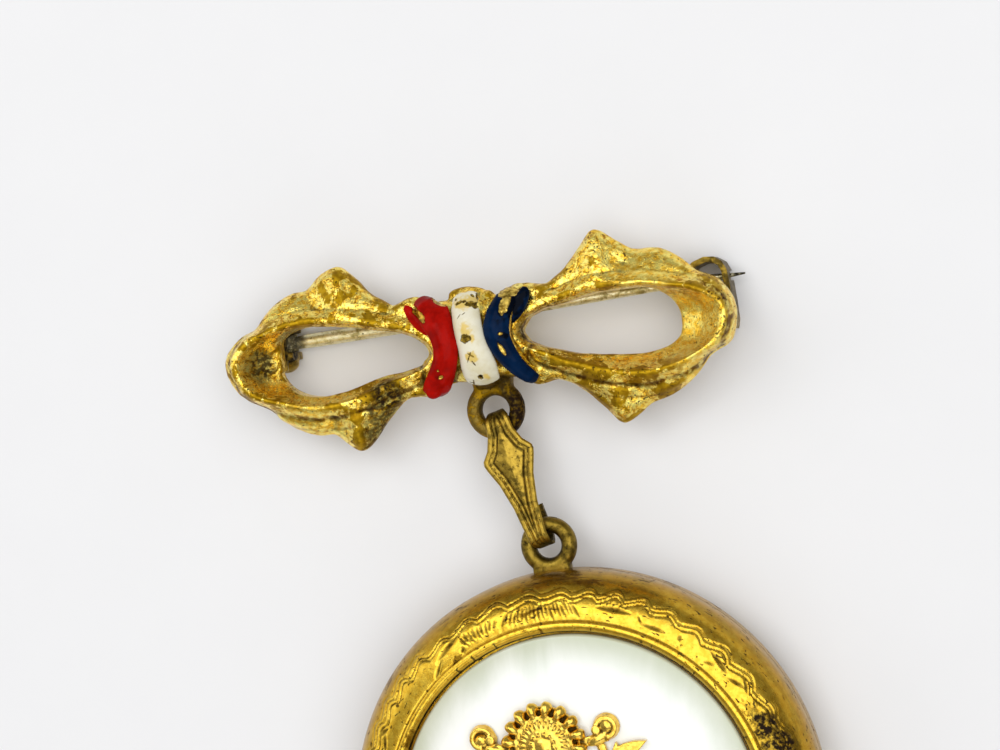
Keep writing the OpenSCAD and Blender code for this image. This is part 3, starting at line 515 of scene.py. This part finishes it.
def crestAround(piece, middle):
    # the highest place along each line from a loop's middle outwards
    s = bowSizes
    crest = []
    for i in range(s["turns"]):
        turn = 2 * math.pi * i / s["turns"]
        along = Vector((math.cos(turn), math.sin(turn), 0))
        top, place = 0, None
        for k in range(int(s["reach"] / s["step"])):
            above = middle + along * (k * s["step"] * mm)
            hit, where, normal, face = piece.ray_cast((above.x, above.y, 0.02), (0, 0, -1))
            if hit and where.z > top:
                top, place = where.z, where.copy()
            if place and (not hit or where.z < top - s["step"] * mm):
                break
        if place and s["crestLow"] * mm < top < s["crestHigh"] * mm:
            crest.append(place)
    return np.array([tuple(p) for p in crest])


def bell(values, middle, width):
    return np.exp(-((values - middle) / width) ** 2)


def beadLoop(piece, middle, cutDirtAndShade):
    s = bowSizes
    crest = crestAround(piece, middle)
    points, normals = places(piece), places(piece, "normal")
    near = np.hypot(points[:, 0] - middle.x, points[:, 1] - middle.y) < s["around"] * mm
    loop = np.flatnonzero(near & (normals[:, 2] > 0.1))
    gaps = np.linalg.norm(points[loop][:, None, :2] - crest[None, :, :2], axis=2)
    nearest = gaps.argmin(axis=1)
    away = gaps.min(axis=1) / mm
    outward = points[loop][:, :2] - crest[nearest][:, :2]
    fromMiddle = crest[nearest][:, :2] - np.array(middle[:2])
    away *= np.sign((outward * fromMiddle).sum(axis=1))
    lower = np.clip(-fromMiddle[:, 1] / mm, 0, 1)
    outer = np.clip(fromMiddle[:, 0] / mm * math.copysign(0.4, middle.x) - 1.6, 0, 1)
    grooveAt = s["grooveAt"] - s["grooveIn"] * outer
    rise = s["bead"] * bell(away, 0, s["beadWidth"]) - s["groove"] * bell(away, grooveAt, s["grooveWidth"])
    rise += lower * s["secondBead"] * bell(away, s["secondAt"], s["secondWidth"])
    rise -= lower * 0.6 * s["groove"] * bell(away, s["secondGroove"], s["grooveWidth"])
    points[loop] += normals[loop] * (rise * mm)[:, None]
    setPlaces(piece, points)
    # the grooves hold a little dirt all round; below the loops and round their outer ends they are darker
    # with painted shadow under the crest
    share = np.maximum(0.25, np.maximum(lower, outer))
    cutDirtAndShade[loop] = np.maximum(cutDirtAndShade[loop], share * bell(away, grooveAt, 0.8 * s["grooveWidth"]))
    cutDirtAndShade[loop] = np.maximum(cutDirtAndShade[loop], 0.5 * lower * bell(away, s["secondGroove"], 0.7 * s["grooveWidth"]))


def makeBow():
    piece = joined([copyOfNode("bow", "ribbonBow")] + [addLump(*lump) for lump in bowLumps], "ribbonBow")
    remeshed(piece, bowSizes["voxel"], bowSizes["smoothing"])
    cutDirtAndShade = np.zeros(len(piece.data.vertices))
    for opening in frame["record"]["physics"]["openings"]:
        if opening["name"] in ("left_loop", "right_loop"):
            low, high = opening["box_m"]
            beadLoop(piece, (Vector(low) + Vector(high)) / 2, cutDirtAndShade)
    store(piece, "cut", cutDirtAndShade)
    modify(piece, "SMOOTH", factor=0.5, iterations=2)
    findRidges(piece, 40, 0.05)
    findRidges(piece, 160, 0.13, "face")
    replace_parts(finished(piece, "brooch", bowGilt), "bow")


makeBow()


# The enamel. Chips, and stains with some painted shade: place, two radii and turn. Runs are lumps of paint
# beside the band:
# place, radii and turn.

enamelSizes = {"voxel": 0.05, "smoothing": 30, "swell": 0.1, "chipDepth": 0.13}
enamelBands = {
    "red_enamel": {
        "rag": 0.25,
        "chips": [(-4.7, 23.3, 0.95, 0.3, -48), (-3.35, 24.2, 0.8, 0.28, -36), (-3.59, 19.33, 0.1, 0.1, 0),
                  (-3.5, 18.85, 0.24, 0.15, 20), (-2.35, 18.1, 0.14, 0.75, -20)],
        "stainsAndShade": [(-3.5, 18.9, 0.4, 0.32, 0)],
        "runs": [((-5.05, 22.9, 4.92), (1.4, 0.38, 0.24), -55), ((-4.25, 18.15, 4.85), (0.75, 0.5, 0.5), 40)],
    },
    "white_enamel": {
        "rag": 0.35,
        "chips": [(-0.95, 23.68, 0.34, 0.2, 0), (-0.55, 23.55, 0.24, 0.24, 0), (-1.72, 23.85, 0.3, 0.14, 20),
                  (-1.35, 23.9, 0.14, 0.12, 0), (-2.05, 24.1, 0.1, 0.1, 0), (-1.33, 21.3, 0.42, 0.34, 0),
                  (-0.78, 18.62, 0.2, 0.24, 0), (-1.25, 20.05, 0.4, 0.05, 60), (-1.1, 20.15, 0.4, 0.05, -35),
                  (-1.0, 19.6, 0.36, 0.04, -60), (-1.45, 18.25, 0.3, 0.05, 60), (-1.6, 18.3, 0.2, 0.05, -20),
                  (-0.85, 24.25, 0.2, 0.08, -40), (-0.35, 24.2, 0.35, 0.3, -50), (-1.6, 24.62, 0.5, 0.1, -5),
                  (-1.7, 22.9, 0.26, 0.03, 50), (-1.35, 23.05, 0.2, 0.03, 30)],
        "stainsAndShade": [(-1.3, 21.85, 0.45, 0.6, 0), (-0.85, 21.3, 0.2, 0.4, 0), (-1.1, 20.1, 0.5, 0.42, 0),
                   (-0.38, 18.62, 0.3, 0.28, 0), (-1.2, 23.8, 1.2, 0.5, 0)],
        "runs": [((-1.35, 24.1, 4.95), (0.8, 0.42, 0.45), 4)],
    },
    "blue_enamel": {
        "rag": 0.15,
        "chips": [(1.75, 24.35, 0.95, 0.6, 10), (1.55, 23.5, 0.4, 1.0, -18), (1.16, 21.4, 0.2, 0.13, 0),
                  (1.12, 20.35, 0.19, 0.58, 24)],
        # the first of these is painted shade: the blue seen dark in the hollow at the loop's inner end
        "stainsAndShade": [(2.15, 23.3, 1.9, 0.75, 53), (1.3, 21.3, 0.35, 0.3, 0)],
        "runs": [((2.05, 23.2, 5.15), (1.45, 0.58, 0.42), 53)],
    },
}


def patches(points, marks, rag, tornSize=0.32, steep=3):
    # how deep inside the nearest mark each point is, with a ragged edge: 1 well inside, 0 outside
    inside = np.zeros(len(points))
    for x, y, long, wide, turn in marks:
        c, s = math.cos(math.radians(turn)), math.sin(math.radians(turn))
        dx, dy = points[:, 0] / mm - x, points[:, 1] / mm - y
        away = np.hypot((dx * c + dy * s) / long, (-dx * s + dy * c) / wide)
        for i in np.flatnonzero((away < 1.9) & (points[:, 2] > 3 * mm)):
            torn = grain.fractal(Vector(points[i]) / (tornSize * mm), 0.8, 2.0, 3)
            inside[i] = max(inside[i], min(1, max(0, steep * (1 - away[i] + rag * torn))))
    return inside


def makeEnamel(node, name, material):
    band = enamelBands[node]
    pieces = [copyOfNode(node, name)]
    pieces += [addLump(place, radii, turn) for place, radii, turn in band["runs"]]
    piece = joined(pieces, name)
    remeshed(piece, enamelSizes["voxel"], enamelSizes["smoothing"])
    editAll(piece)
    bpy.ops.transform.shrink_fatten(value=enamelSizes["swell"] * mm)
    objectMode()
    points, normals = places(piece), places(piece, "normal")
    chip = patches(points, band["chips"], band["rag"])
    setPlaces(piece, points - normals * (chip * enamelSizes["chipDepth"] * mm)[:, None])
    store(piece, "chip", chip)
    store(piece, "stainAndShade", patches(points, band["stainsAndShade"], 0.6, 0.45, 2.2))
    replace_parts(finished(piece, "brooch", material), node)


for colour, look in {"red": redEnamel, "white": whiteEnamel, "blue": blueEnamel}.items():
    makeEnamel(colour + "_enamel", colour + "Band", enamelMaterial(colour + "_cold_enamel", look))


# The link: one strip folded through both rings, its front stamped with a kite

linkSizes = {
    "halfWidth": 1.96, "sheet": 0.36, "bottom": 1.93, "top": 4.07, "start": 0.06, "foldBack": 2.9,
    "backHalfWidth": 0.5, "backShift": 0.1, "frontShift": -0.32, "rows": 260, "columns": 70, "border": 0.36,
    "grooveWidth": 0.1, "grooveDepth": 0.08, "band": 0.2, "kiteSlope": 0.25, "kiteRise": 0.2,
    "roundDepth": 0.14, "roundWidth": 0.16, "fieldDepth": 0.08,
}
# share of the way between the rings, half width as a share of the widest
linkOutline = [(0.0, 0.42), (0.16, 0.5), (0.25, 0.68), (0.31, 0.94), (0.34, 0.96), (0.38, 0.9), (0.5, 0.66),
               (0.68, 0.46), (0.9, 0.36), (1.003, 0.37)]


def linkFace(away):
    # height of the stamped face at a distance in mm from the strip's edge
    s = linkSizes
    groove1 = s["border"] + 0.5 * s["grooveWidth"]
    groove2 = s["border"] + s["grooveWidth"] + s["band"] + 0.5 * s["grooveWidth"]
    height = -s["roundDepth"] * np.clip(1 - away / s["roundWidth"], 0, 1) ** 2
    for middle in (groove1, groove2):
        height = height - s["grooveDepth"] * bell(away, middle, 0.55 * s["grooveWidth"])
    rise = np.clip((away - groove2) * s["kiteSlope"], 0, s["kiteRise"])
    return height + rise - s["fieldDepth"] * (away > s["border"] + s["grooveWidth"])


def makeLink(eyelet, ring):
    s = linkSizes
    run = (ring - eyelet).length / mm
    end = run + 0.03
    bend = (s["top"] - s["bottom"]) / 2
    middleHeight = s["bottom"] + bend
    # the strip's outside seen from the side, from the end of one back strap to the end of the other
    side = [(end - s["foldBack"], s["bottom"]), (end - bend, s["bottom"])]
    turns = np.linspace(0.1, math.pi - 0.1, 24)
    side += [(end - bend + bend * math.sin(a), middleHeight - bend * math.cos(a)) for a in turns]
    side += [(end - bend, s["top"]), (s["start"] + bend, s["top"])]
    side += [(s["start"] + bend - bend * math.sin(a), middleHeight + bend * math.cos(a)) for a in turns]
    side += [(s["start"] + bend, s["bottom"]), (s["start"] + s["foldBack"], s["bottom"])]
    side = np.array(side)
    travel = np.concatenate([[0], np.cumsum(np.linalg.norm(np.diff(side, axis=0), axis=1))])
    at = np.linspace(0, travel[-1], s["rows"])
    x, z = np.interp(at, travel, side[:, 0]), np.interp(at, travel, side[:, 1])
    front = np.clip((z - middleHeight) / bend + 0.15, 0, 1)
    share, widths = np.array(linkOutline).T
    frontWidth = np.interp(x / run, share, widths) * s["halfWidth"]
    half = s["backHalfWidth"] + (frontWidth - s["backHalfWidth"]) * front
    only(None)
    bpy.ops.mesh.primitive_grid_add(x_subdivisions=s["rows"] - 1, y_subdivisions=s["columns"] - 1, size=1)
    piece = bpy.context.object
    grid = places(piece)
    row = np.rint((grid[:, 0] + 0.5) * (s["rows"] - 1)).astype(int)
    across = 2 * grid[:, 1] * half[row]
    slopeX, slopeZ = np.gradient(x, at), np.gradient(z, at)
    edgeX = np.linspace(0, run, 200)
    edgeY = np.interp(edgeX / run, share, widths) * s["halfWidth"]
    edge = np.array([np.concatenate([edgeX, edgeX]), np.concatenate([edgeY, -edgeY])]).T
    here = np.array([x[row], across]).T
    away = np.linalg.norm(here[:, None] - edge[None], axis=2).min(axis=1)
    away = np.minimum(away, half[row] - np.abs(across))
    rise = linkFace(away) * front[row]
    lean = s["frontShift"] * np.sin(0.5 * math.pi * np.clip(x[row] / run, 0, 1))
    shift = s["backShift"] * (1 - front[row]) - lean * front[row]
    # outwards from the strip is to the left of its travel, which goes from the lower back over the front
    local = np.array([x[row] + slopeZ[row] * rise, across - shift, z[row] - slopeX[row] * rise]).T
    turn = math.atan2(ring.y - eyelet.y, ring.x - eyelet.x)
    c, n = math.cos(turn), math.sin(turn)
    u, v, height = local.T
    placed = np.array([u * c - v * n, u * n + v * c, height]).T * mm
    setPlaces(piece, placed + np.array([eyelet.x, eyelet.y, 0]))
    editAll(piece)
    bpy.ops.mesh.normals_make_consistent(inside=False)
    objectMode()
    top = max(piece.data.polygons, key=lambda face: face.center.z)
    if top.normal.z < 0:
        editAll(piece)
        bpy.ops.mesh.flip_normals()
        objectMode()
    modify(piece, "SOLIDIFY", thickness=s["sheet"] * mm, offset=-1)
    piece.name = "stampedLink"
    findRidges(piece, 30, 0.045)
    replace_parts(finished(piece, "brooch", dullGilt, 50), "link")


eyeletMiddle = Vector((-0.6247, 16.2591, 3)) * mm
ringMiddle = Vector((2.1253, 6.5791, 3)) * mm
makeLink(eyeletMiddle, ringMiddle)


# The locket, drawn round the origin and then set in its place

mounts = {mount["name"]: mount for mount in frame["record"]["mounts"]}
locketMiddle = Vector(mounts["locket_back"]["pos_m"])
locketTurn = math.radians(3.4)

locketSizes = {
    "radius": 16.4, "seam": 3.7, "seamGap": 0.025, "sheet": 0.4, "backRadius": 10.5, "caseCurve": 2.9,
    "lip": 0.6, "lipGap": 0.06, "ringReach": 18.1, "ringRadius": 2.0, "ringHole": 0.88, "ringHeight": 3.0,
    "ringThick": 1.2, "footWidth": 2.75, "footDepth": 1.0, "footOut": 0.18, "footTaper": (0.92, 1, 0.9),
    "ringVoxel": 0.05, "ringSmoothing": 45, "axisReach": 0.66, "barrelRadius": 0.55, "barrelBore": 0.29,
    "middleBarrel": 1.7, "sideBarrel": 1.5, "barrelGap": 0.06, "tabIn": 0.3,
}
rimSizes = {
    "curveStart": 4.2, "crownRadius": 13.35, "crownHeight": 7.55, "holeRadius": 12.6, "curveSteps": 60,
    "turnSteps": 1080, "waveRadius": 14.55, "waveHeight": 0.42, "waves": 45, "lineWidth": 0.075,
    "lineApart": 0.3, "cutDepth": 0.065,
}

# the bead beside the pearl: reach beyond the hole, and height
rimBead = [(0.68, 7.52), (0.64, 7.485), (0.6, 7.52), (0.5, 7.58), (0.38, 7.6), (0.26, 7.58), (0.17, 7.52),
           (0.1, 7.44), (0.02, 7.34), (-0.06, 7.22), (-0.1, 7.1), (-0.1, 6.9)]


def quarter(r0, z0, r1, z1, steps):
    # a quarter of an ellipse that leaves [r0, z0] upright and comes to [r1, z1] level
    turns = [math.pi / 2 * i / steps for i in range(steps + 1)]
    return [(r1 + (r0 - r1) * math.cos(a), z0 + (z1 - z0) * math.sin(a)) for a in turns]


def lathe(name, profile, steps, closed=True):
    # a profile of [radius, height] in mm, spun round the upright axis
    points = [(r * mm, 0, z * mm) for r, z in profile]
    edges = [(i, i + 1) for i in range(len(points) - 1)] + ([(len(points) - 1, 0)] if closed else [])
    mesh = bpy.data.meshes.new(name)
    mesh.from_pydata(points, edges, [])
    piece = newObject(name, mesh)
    editAll(piece)
    bpy.ops.mesh.spin(steps=steps, angle=2 * math.pi, center=(0, 0, 0), axis=(0, 0, 1))
    bpy.ops.mesh.select_all(action="SELECT")
    bpy.ops.mesh.remove_doubles(threshold=0.002 * mm)
    bpy.ops.mesh.normals_make_consistent(inside=False)
    objectMode()
    return piece


def setInPlace(piece):
    piece.rotation_euler = (0, 0, locketTurn)
    piece.location = (locketMiddle.x, locketMiddle.y, 0)
    applyPlace(piece)


def barrel(start, end, low, high):
    # one barrel of the hinge with the tab that holds it, along the hinge's axis
    s = locketSizes
    r, bore, soft, length = s["barrelRadius"], s["barrelBore"], 0.07, end - start
    profile = [(bore, 0), (r - soft, 0), (r, soft), (r, length - soft), (r - soft, length), (bore, length)]
    tube = lathe("barrel", profile, 40)
    axis = -(s["radius"] + s["axisReach"])
    tube.rotation_euler = (-math.pi / 2, 0, 0)
    tube.location = (axis * mm, start * mm, s["seam"] * mm)
    applyPlace(tube)
    outer, inner = axis + s["tabIn"], -(s["radius"] - s["tabIn"])
    middle = ((outer + inner) / 2, (start + end) / 2, (low + high) / 2)
    tab = addBlock(middle, (inner - outer, length, high - low))
    modify(tab, "BEVEL", width=0.05 * mm, segments=2)
    return [tube, tab]


def makeLocketRing():
    s = locketSizes
    thick = (s["ringRadius"] - s["ringHole"]) / 2
    only(None)
    bpy.ops.mesh.primitive_torus_add(major_segments=72, minor_segments=28, minor_radius=thick * mm,
                                     major_radius=(s["ringHole"] + thick) * mm,
                                     location=(0, s["ringReach"] * mm, s["ringHeight"] * mm))
    ring = bpy.context.object
    ring.scale = (1, 1, 0.5 * s["ringThick"] / thick)
    applyPlace(ring)
    foot = addBlock((0, s["radius"] + s["footOut"], s["ringHeight"]),
                    (s["footWidth"], s["footDepth"], s["ringThick"]))
    editAll(foot)
    # the foot is a little narrower where it leaves the ring
    bpy.ops.mesh.select_all(action="DESELECT")
    objectMode()
    for vertex in foot.data.vertices:
        vertex.select = vertex.co.y > s["radius"] * mm
    bpy.ops.object.mode_set(mode="EDIT")
    bpy.ops.transform.resize(value=s["footTaper"])
    bpy.ops.mesh.select_all(action="SELECT")
    bpy.ops.mesh.bevel(offset=0.2 * mm, segments=4)
    objectMode()
    piece = joined([ring, foot], "locketRing")
    remeshed(piece, s["ringVoxel"], s["ringSmoothing"])
    findRidges(piece, 30, 0.05)
    setInPlace(piece)
    finished(piece, "brooch", ringGilt)


def makeCase():
    s = locketSizes
    lip = s["radius"] - s["sheet"] - s["lipGap"]
    inner = lip - s["sheet"]
    top = s["seam"] - s["seamGap"]
    outside = quarter(s["radius"], s["caseCurve"], s["backRadius"], 0, 32)[::-1]
    inside = quarter(inner, s["caseCurve"], s["backRadius"], s["sheet"] + 0.1, 20)
    edge = [(s["radius"], top - 0.06), (s["radius"] - 0.06, top), (lip, top),
            (lip, s["seam"] + s["lip"] - 0.05), (lip - 0.05, s["seam"] + s["lip"]),
            (inner, s["seam"] + s["lip"])]
    shell = lathe("case", [(0, 0)] + outside + edge + inside + [(0, s["sheet"] + 0.1)], 360, closed=False)
    first = s["middleBarrel"] / 2 + s["barrelGap"]
    pieces = [shell]
    for start in (first, -first - s["sideBarrel"]):
        pieces += barrel(start, start + s["sideBarrel"], s["seam"] - s["barrelRadius"], top)
    piece = joined(pieces, "caseShell")
    setInPlace(piece)
    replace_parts(finished(piece, "brooch", locketGilt, 40), "locket_case")


# Strokes of the engraving, for one third of the rim: angle, radius, length, width and lean
def engravedStrokes():
    strokes = []
    # two sprays of blades that stand side by side and fan out
    for i in range(19):
        strokes.append((85 + 1.15 * i, 14.0 + 0.1 * (i % 3), 1.4 - 0.25 * (i % 2), 0.24, 122 - 3.6 * i))
    for i in range(9):
        strokes.append((108.5 + 1.25 * i, 14.05 + 0.1 * (i % 2), 0.95, 0.22, 66 + 6 * i))
    # single leaves with a toothed edge, blades and dots
    strokes += [(74.3, 14.32, 2.7, 0.42, 0), (62.6, 13.92, 2.1, 0.34, 4), (66.8, 14.1, 0.8, 0.2, -50)]
    strokes += [(78 - 1.7 * i, 14.62, 0.42, 0.16, 80) for i in range(5)]
    strokes += [(55, 14.15, 0.5, 0.4, 70), (53.6, 13.75, 0.26, 0.2, 0)]
    strokes += [(42.5, 14.4, 2.1, 0.38, -12), (44.6, 13.9, 1.1, 0.26, 24), (36, 14.25, 1.7, 0.34, 20),
                (33.5, 14.6, 1.1, 0.26, -28)]
    strokes += [(123.2, 14.4, 2.9, 0.44, 14), (129.6, 13.6, 1.8, 0.32, 30), (120, 13.6, 0.45, 0.36, 45)]
    return strokes


def cutDepths(angles, radii):
    # how deep the engraving is at each place, as a share of the full cut, and how dirty
    s = rimSizes
    depth, cutDirtAndShade = np.zeros(len(angles)), np.zeros(len(angles))
    # double line in uneven arches that meet in points towards the middle
    turn = 0.5 * s["waves"] * angles + 0.6 * np.sin(5 * angles)
    arches = (0.75 + 0.25 * np.sin(11 * angles)) * np.abs(np.sin(turn)) ** 0.9 + 0.3 * np.sin(2 * turn)
    for k in (0, 1, 2):
        line = s["waveRadius"] + s["waveHeight"] * arches + k * s["lineApart"] + 0.08 * np.sin(7 * angles + k)
        away = np.abs(radii - line) / s["lineWidth"]
        share = 1 if k < 2 else 0.7 * (np.sin(5 * angles + 1) > -0.2)
        line = share * np.clip(1 - away ** 2, 0, 1)
        depth = np.maximum(depth, line)
        cutDirtAndShade = np.maximum(cutDirtAndShade, (0.6 + 0.25 * np.sin(3 * angles + 2 * k)) * line)
    for third in (0, 120, 240):
        for angle, radius, length, width, lean in engravedStrokes():
            turn = math.radians(angle + third)
            off = (angles - turn + math.pi) % (2 * math.pi) - math.pi
            x, y = -off * radius, radii - radius
            close = np.flatnonzero(np.hypot(x, y) < length)
            c, n = math.cos(math.radians(lean)), math.sin(math.radians(lean))
            u = (x[close] * c + y[close] * n) / (0.5 * length)
            v = (-x[close] * n + y[close] * c) / (0.5 * width)
            lens = np.clip(1 - u ** 2, 0, 1)
            stroke = np.clip(lens - v ** 2 / np.maximum(lens, 0.05), 0, 1) ** 0.6
            depth[close] = np.maximum(depth[close], stroke)
            cutDirtAndShade[close] = np.maximum(cutDirtAndShade[close], 0.8 * stroke)
    return depth, cutDirtAndShade


def makeRim():
    s, body = rimSizes, locketSizes
    radius, sheet, hole = body["radius"], body["sheet"], s["holeRadius"]
    dome = quarter(radius, s["curveStart"], s["crownRadius"], s["crownHeight"], s["curveSteps"])
    inner = quarter(radius - sheet, s["curveStart"], s["crownRadius"], s["crownHeight"] - sheet, 8)
    bead = [(hole + r, z) for r, z in rimBead]
    seam = body["seam"] + body["seamGap"]
    profile = [(radius, seam)] + dome + bead + inner[::-1] + [(radius - sheet, seam)]
    rim = lathe("rim", profile, s["turnSteps"])
    points, normals = places(rim), places(rim, "normal")
    radii = np.hypot(points[:, 0], points[:, 1]) / mm
    angles = np.arctan2(points[:, 1], points[:, 0]) + locketTurn
    outside = (normals[:, 2] > 0.05) & (radii > s["crownRadius"] + 0.02)
    depth, cutDirtAndShade = [np.where(outside, values, 0) for values in cutDepths(angles, radii)]
    setPlaces(rim, points - normals * (depth * s["cutDepth"] * mm)[:, None])
    # painted shade in the gap round the pearl, and dirt in the line along the bead
    pearlGapShade = np.where((radii < hole - 0.02) & (points[:, 2] < 7.3 * mm), 1.3, 0)
    line = np.where((np.abs(radii - hole - 0.64) < 0.03) & (points[:, 2] > 7.3 * mm), 0.6, 0)
    store(rim, "cut", np.maximum(cutDirtAndShade, np.maximum(pearlGapShade, line)))
    seam, r = body["seam"] + 2 * body["seamGap"], body["barrelRadius"]
    pieces = [rim] + barrel(-body["middleBarrel"] / 2, body["middleBarrel"] / 2, seam, body["seam"] + r)
    piece = joined(pieces, "engravedRim")
    setInPlace(piece)
    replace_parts(finished(piece, "cover", locketGilt, 35), "locket_cover")


seatSizes = {"under": 0.1, "top": 5.98, "wall": 7.05, "steps": 180}


def makePearlSeat():
    s, sheet = seatSizes, locketSizes["sheet"]
    well, low = rimSizes["holeRadius"] - s["under"], s["top"] - sheet
    profile = [(0, s["top"]), (well, s["top"]), (well, s["wall"]), (well + sheet, s["wall"]),
               (well + sheet, low), (0, low)]
    seat = lathe("pearlSeat", profile, s["steps"], closed=False)
    setInPlace(seat)
    finished(seat, "cover", locketGilt, 35)


pearlSizes = {"radius": 12.35, "bottom": 6.0, "edge": 7.22, "dome": 0.26, "round": 0.25, "steps": 30}


def makePearl():
    s = pearlSizes
    flat = s["radius"] - s["round"]
    lowest = s["edge"] + s["dome"] * (1 - (flat / s["radius"]) ** 2)
    corner = [(flat + s["round"] * math.cos(a), lowest - s["round"] * (1 - math.sin(a)))
              for a in np.linspace(0, math.pi / 2, 7)]
    radii = [flat * (1 - i / s["steps"]) for i in range(1, s["steps"] + 1)]
    top = [(r, s["edge"] + s["dome"] * (1 - (r / s["radius"]) ** 2)) for r in radii]
    profile = [(0, s["bottom"]), (s["radius"], s["bottom"])] + corner + top
    disc = lathe("pearlDisc", profile, 240, closed=False)
    setInPlace(disc)
    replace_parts(finished(disc, "cover", pearl, 40), "pearl_disc")


makeLocketRing()
makeCase()
makeRim()
makePearlSeat()
makePearl()


# The ornament, with small teeth round the rosette's inner ring

ornamentSizes = {"voxel": 0.06, "smoothing": 4, "rosette": (1.509, -6.364), "height": 8.1}
# rings of teeth, lobes and beads round the rosette: how many, reach, radii and height
rosetteRings = [(26, 1.42, (0.26, 0.08, 0.1), 0.17), (16, 2.42, (0.56, 0.36, 0.46), -0.1),
                (12, 0.8, (0.14, 0.12, 0.12), 0.26)]
# lumps that fill out the scrolls
scrollLumps = [((5.85, -5.25, 7.75), (0.55, 0.6, 0.36), 10), ((5.2, -6.15, 7.75), (0.9, 0.42, 0.36), 25),
               ((-2.8, -5.85, 7.75), (0.55, 0.5, 0.36), 0), ((-2.0, -6.55, 7.75), (0.8, 0.42, 0.36), -15)]


def makeOrnament():
    s = ornamentSizes
    pieces = [copyOfNode("ornament", "giltOrnament")]
    x, y = s["rosette"]
    pieces.append(addLump((x, y, s["height"]), (1.8, 1.8, 0.3), 0))
    pieces.append(addLump((x, y, s["height"] + 0.24), (0.56, 0.5, 0.14), 0))
    pieces += [addLump(*lump) for lump in scrollLumps]
    for count, reach, radii, height in rosetteRings:
        for i in range(count):
            turn = 2 * math.pi * (i + 0.5) / count + locketTurn
            place = (x + reach * math.cos(turn), y + reach * math.sin(turn), s["height"] + height)
            pieces.append(addLump(place, radii, math.degrees(turn)))
    piece = joined(pieces, "giltOrnament")
    remeshed(piece, s["voxel"], s["smoothing"])
    findRidges(piece, 25, 0.05)
    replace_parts(finished(piece, "cover", ornamentGilt), "ornament")


makeOrnament()


# The hinge and the catch behind the bow, with their edges rounded

hingeSizes = {
    "voxel": 0.06, "smoothing": 22, "lugX": -16.1, "lugOn": -0.1, "lugRise": 0.3,
    "lugRadii": (0.85, 0.68, 1.0), "turn": 7, "earEnd": 0.15, "earsApart": 22.2, "upperIn": 0.5,
    "squash": 0.15,
}


def makeRounded(node, name, width, material):
    piece = copyOfNode(node, name)
    editAll(piece)
    bpy.ops.mesh.dissolve_limited(angle_limit=math.radians(1))
    objectMode()
    modify(piece, "BEVEL", width=width * mm, segments=4, limit_method="ANGLE", angle_limit=math.radians(35))
    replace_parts(finished(piece, "brooch", material, 35), node)


def makeHinge():
    # the ears come out as rounded lugs
    low, high = [Vector(corner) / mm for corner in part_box("pin_rivet")]
    s = hingeSizes
    lumps = []
    for x, y in ((s["lugX"], low.y - s["lugOn"]), (s["lugX"], high.y - s["upperIn"])):
        lumps.append(addLump((x, y, (low.z + high.z) / 2 + s["lugRise"]), s["lugRadii"], s["turn"]))
    piece = joined([copyOfNode("pin_hinge", "pinHinge")] + lumps, "pinHinge")
    remeshed(piece, s["voxel"], s["smoothing"])
    # the lower ear ends close to the rivet
    points = places(piece)
    end = (high.x + s["earEnd"]) * mm
    lower = (points[:, 1] < s["earsApart"] * mm) & (points[:, 0] > end)
    points[lower, 0] = end + s["squash"] * (points[lower, 0] - end)
    setPlaces(piece, points)
    findRidges(piece, 30, 0.06)
    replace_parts(finished(piece, "brooch", dullGilt), "pin_hinge")


makeHinge()
makeRounded("pin_rivet", "pinRivet", 0.2, dullGilt)
makeRounded("catch", "pinCatch", 0.1, dullGilt)
for node, material in {"pin_stem": stemMetal, "locket_hinge_pin": dullGilt}.items():
    dress(frame["nodes"][node], material)


# The floor, the lights and the camera

studio = {
    "floor": "#E3E3E4", "floorLow": "#E0E0E1", "world": 0.345, "cameraPlace": (36.44, 18.63, 149.53),
    "lens": 78.3, "right": (0.964981, -0.104528, -0.240597), "up": (0.101423, 0.994522, -0.025288),
}
# name, place in metres, size and power
lights = [("overheadBox", (0.13, 0.04, 0.5), 0.66, 2.58), ("keyLight", (-0.2, 0.22, 0.4), 0.25, 0.45),
          ("sideLight", (-0.45, 0.12, 0.17), 0.35, 0.4), ("frontLight", (0.1, -0.5, 0.22), 0.35, 0.35)]


def softLight(name, place, size, power):
    light = bpy.data.lights.new(name, "AREA")
    light.energy = power
    light.size = size
    lamp = newObject(name, light)
    lamp.location = place
    lamp.rotation_euler = (-Vector(place)).to_track_quat("-Z", "Y").to_euler()


# White paper: matt and nearly even
def makeFloor():
    only(None)
    bpy.ops.mesh.primitive_plane_add(size=1.6, location=(0, 0, -0.01 * mm))
    floor = bpy.context.object
    floor.name = "paleFloor"
    material, add, shader, coords = newMaterial("matt_white_paper")
    clouds = add("TexNoise", {"Vector": coords, "Scale": perMm(9), "Detail": 3, "Roughness": 0.6})
    colour = add("Mix", {0: clouds, 6: studio["floor"], 7: studio["floorLow"]}, 2)
    fill(shader, {"Base Color": colour, "Roughness": 0.9})
    floor.data.materials.append(material)


def makeCamera():
    data = bpy.data.cameras.new("photoCamera")
    data.lens = studio["lens"]
    data.sensor_width = 36
    data.clip_start = 0.01
    camera = newObject("photoCamera", data)
    right, up = Vector(studio["right"]), Vector(studio["up"])
    turn = Matrix((right, up, right.cross(up))).transposed().to_4x4()
    camera.matrix_world = Matrix.Translation(Vector(studio["cameraPlace"]) * mm) @ turn
    bpy.context.scene.camera = camera


makeFloor()
makeCamera()
for light in lights:
    softLight(*light)
world = bpy.data.worlds.new("studioWorld")
bpy.context.scene.world = world
world.use_nodes = True
fill(world.node_tree.nodes["Background"], {"Color": "#FFFFFF", "Strength": studio["world"]})
bpy.context.scene.view_settings.view_transform = "Standard"
print("studio made")
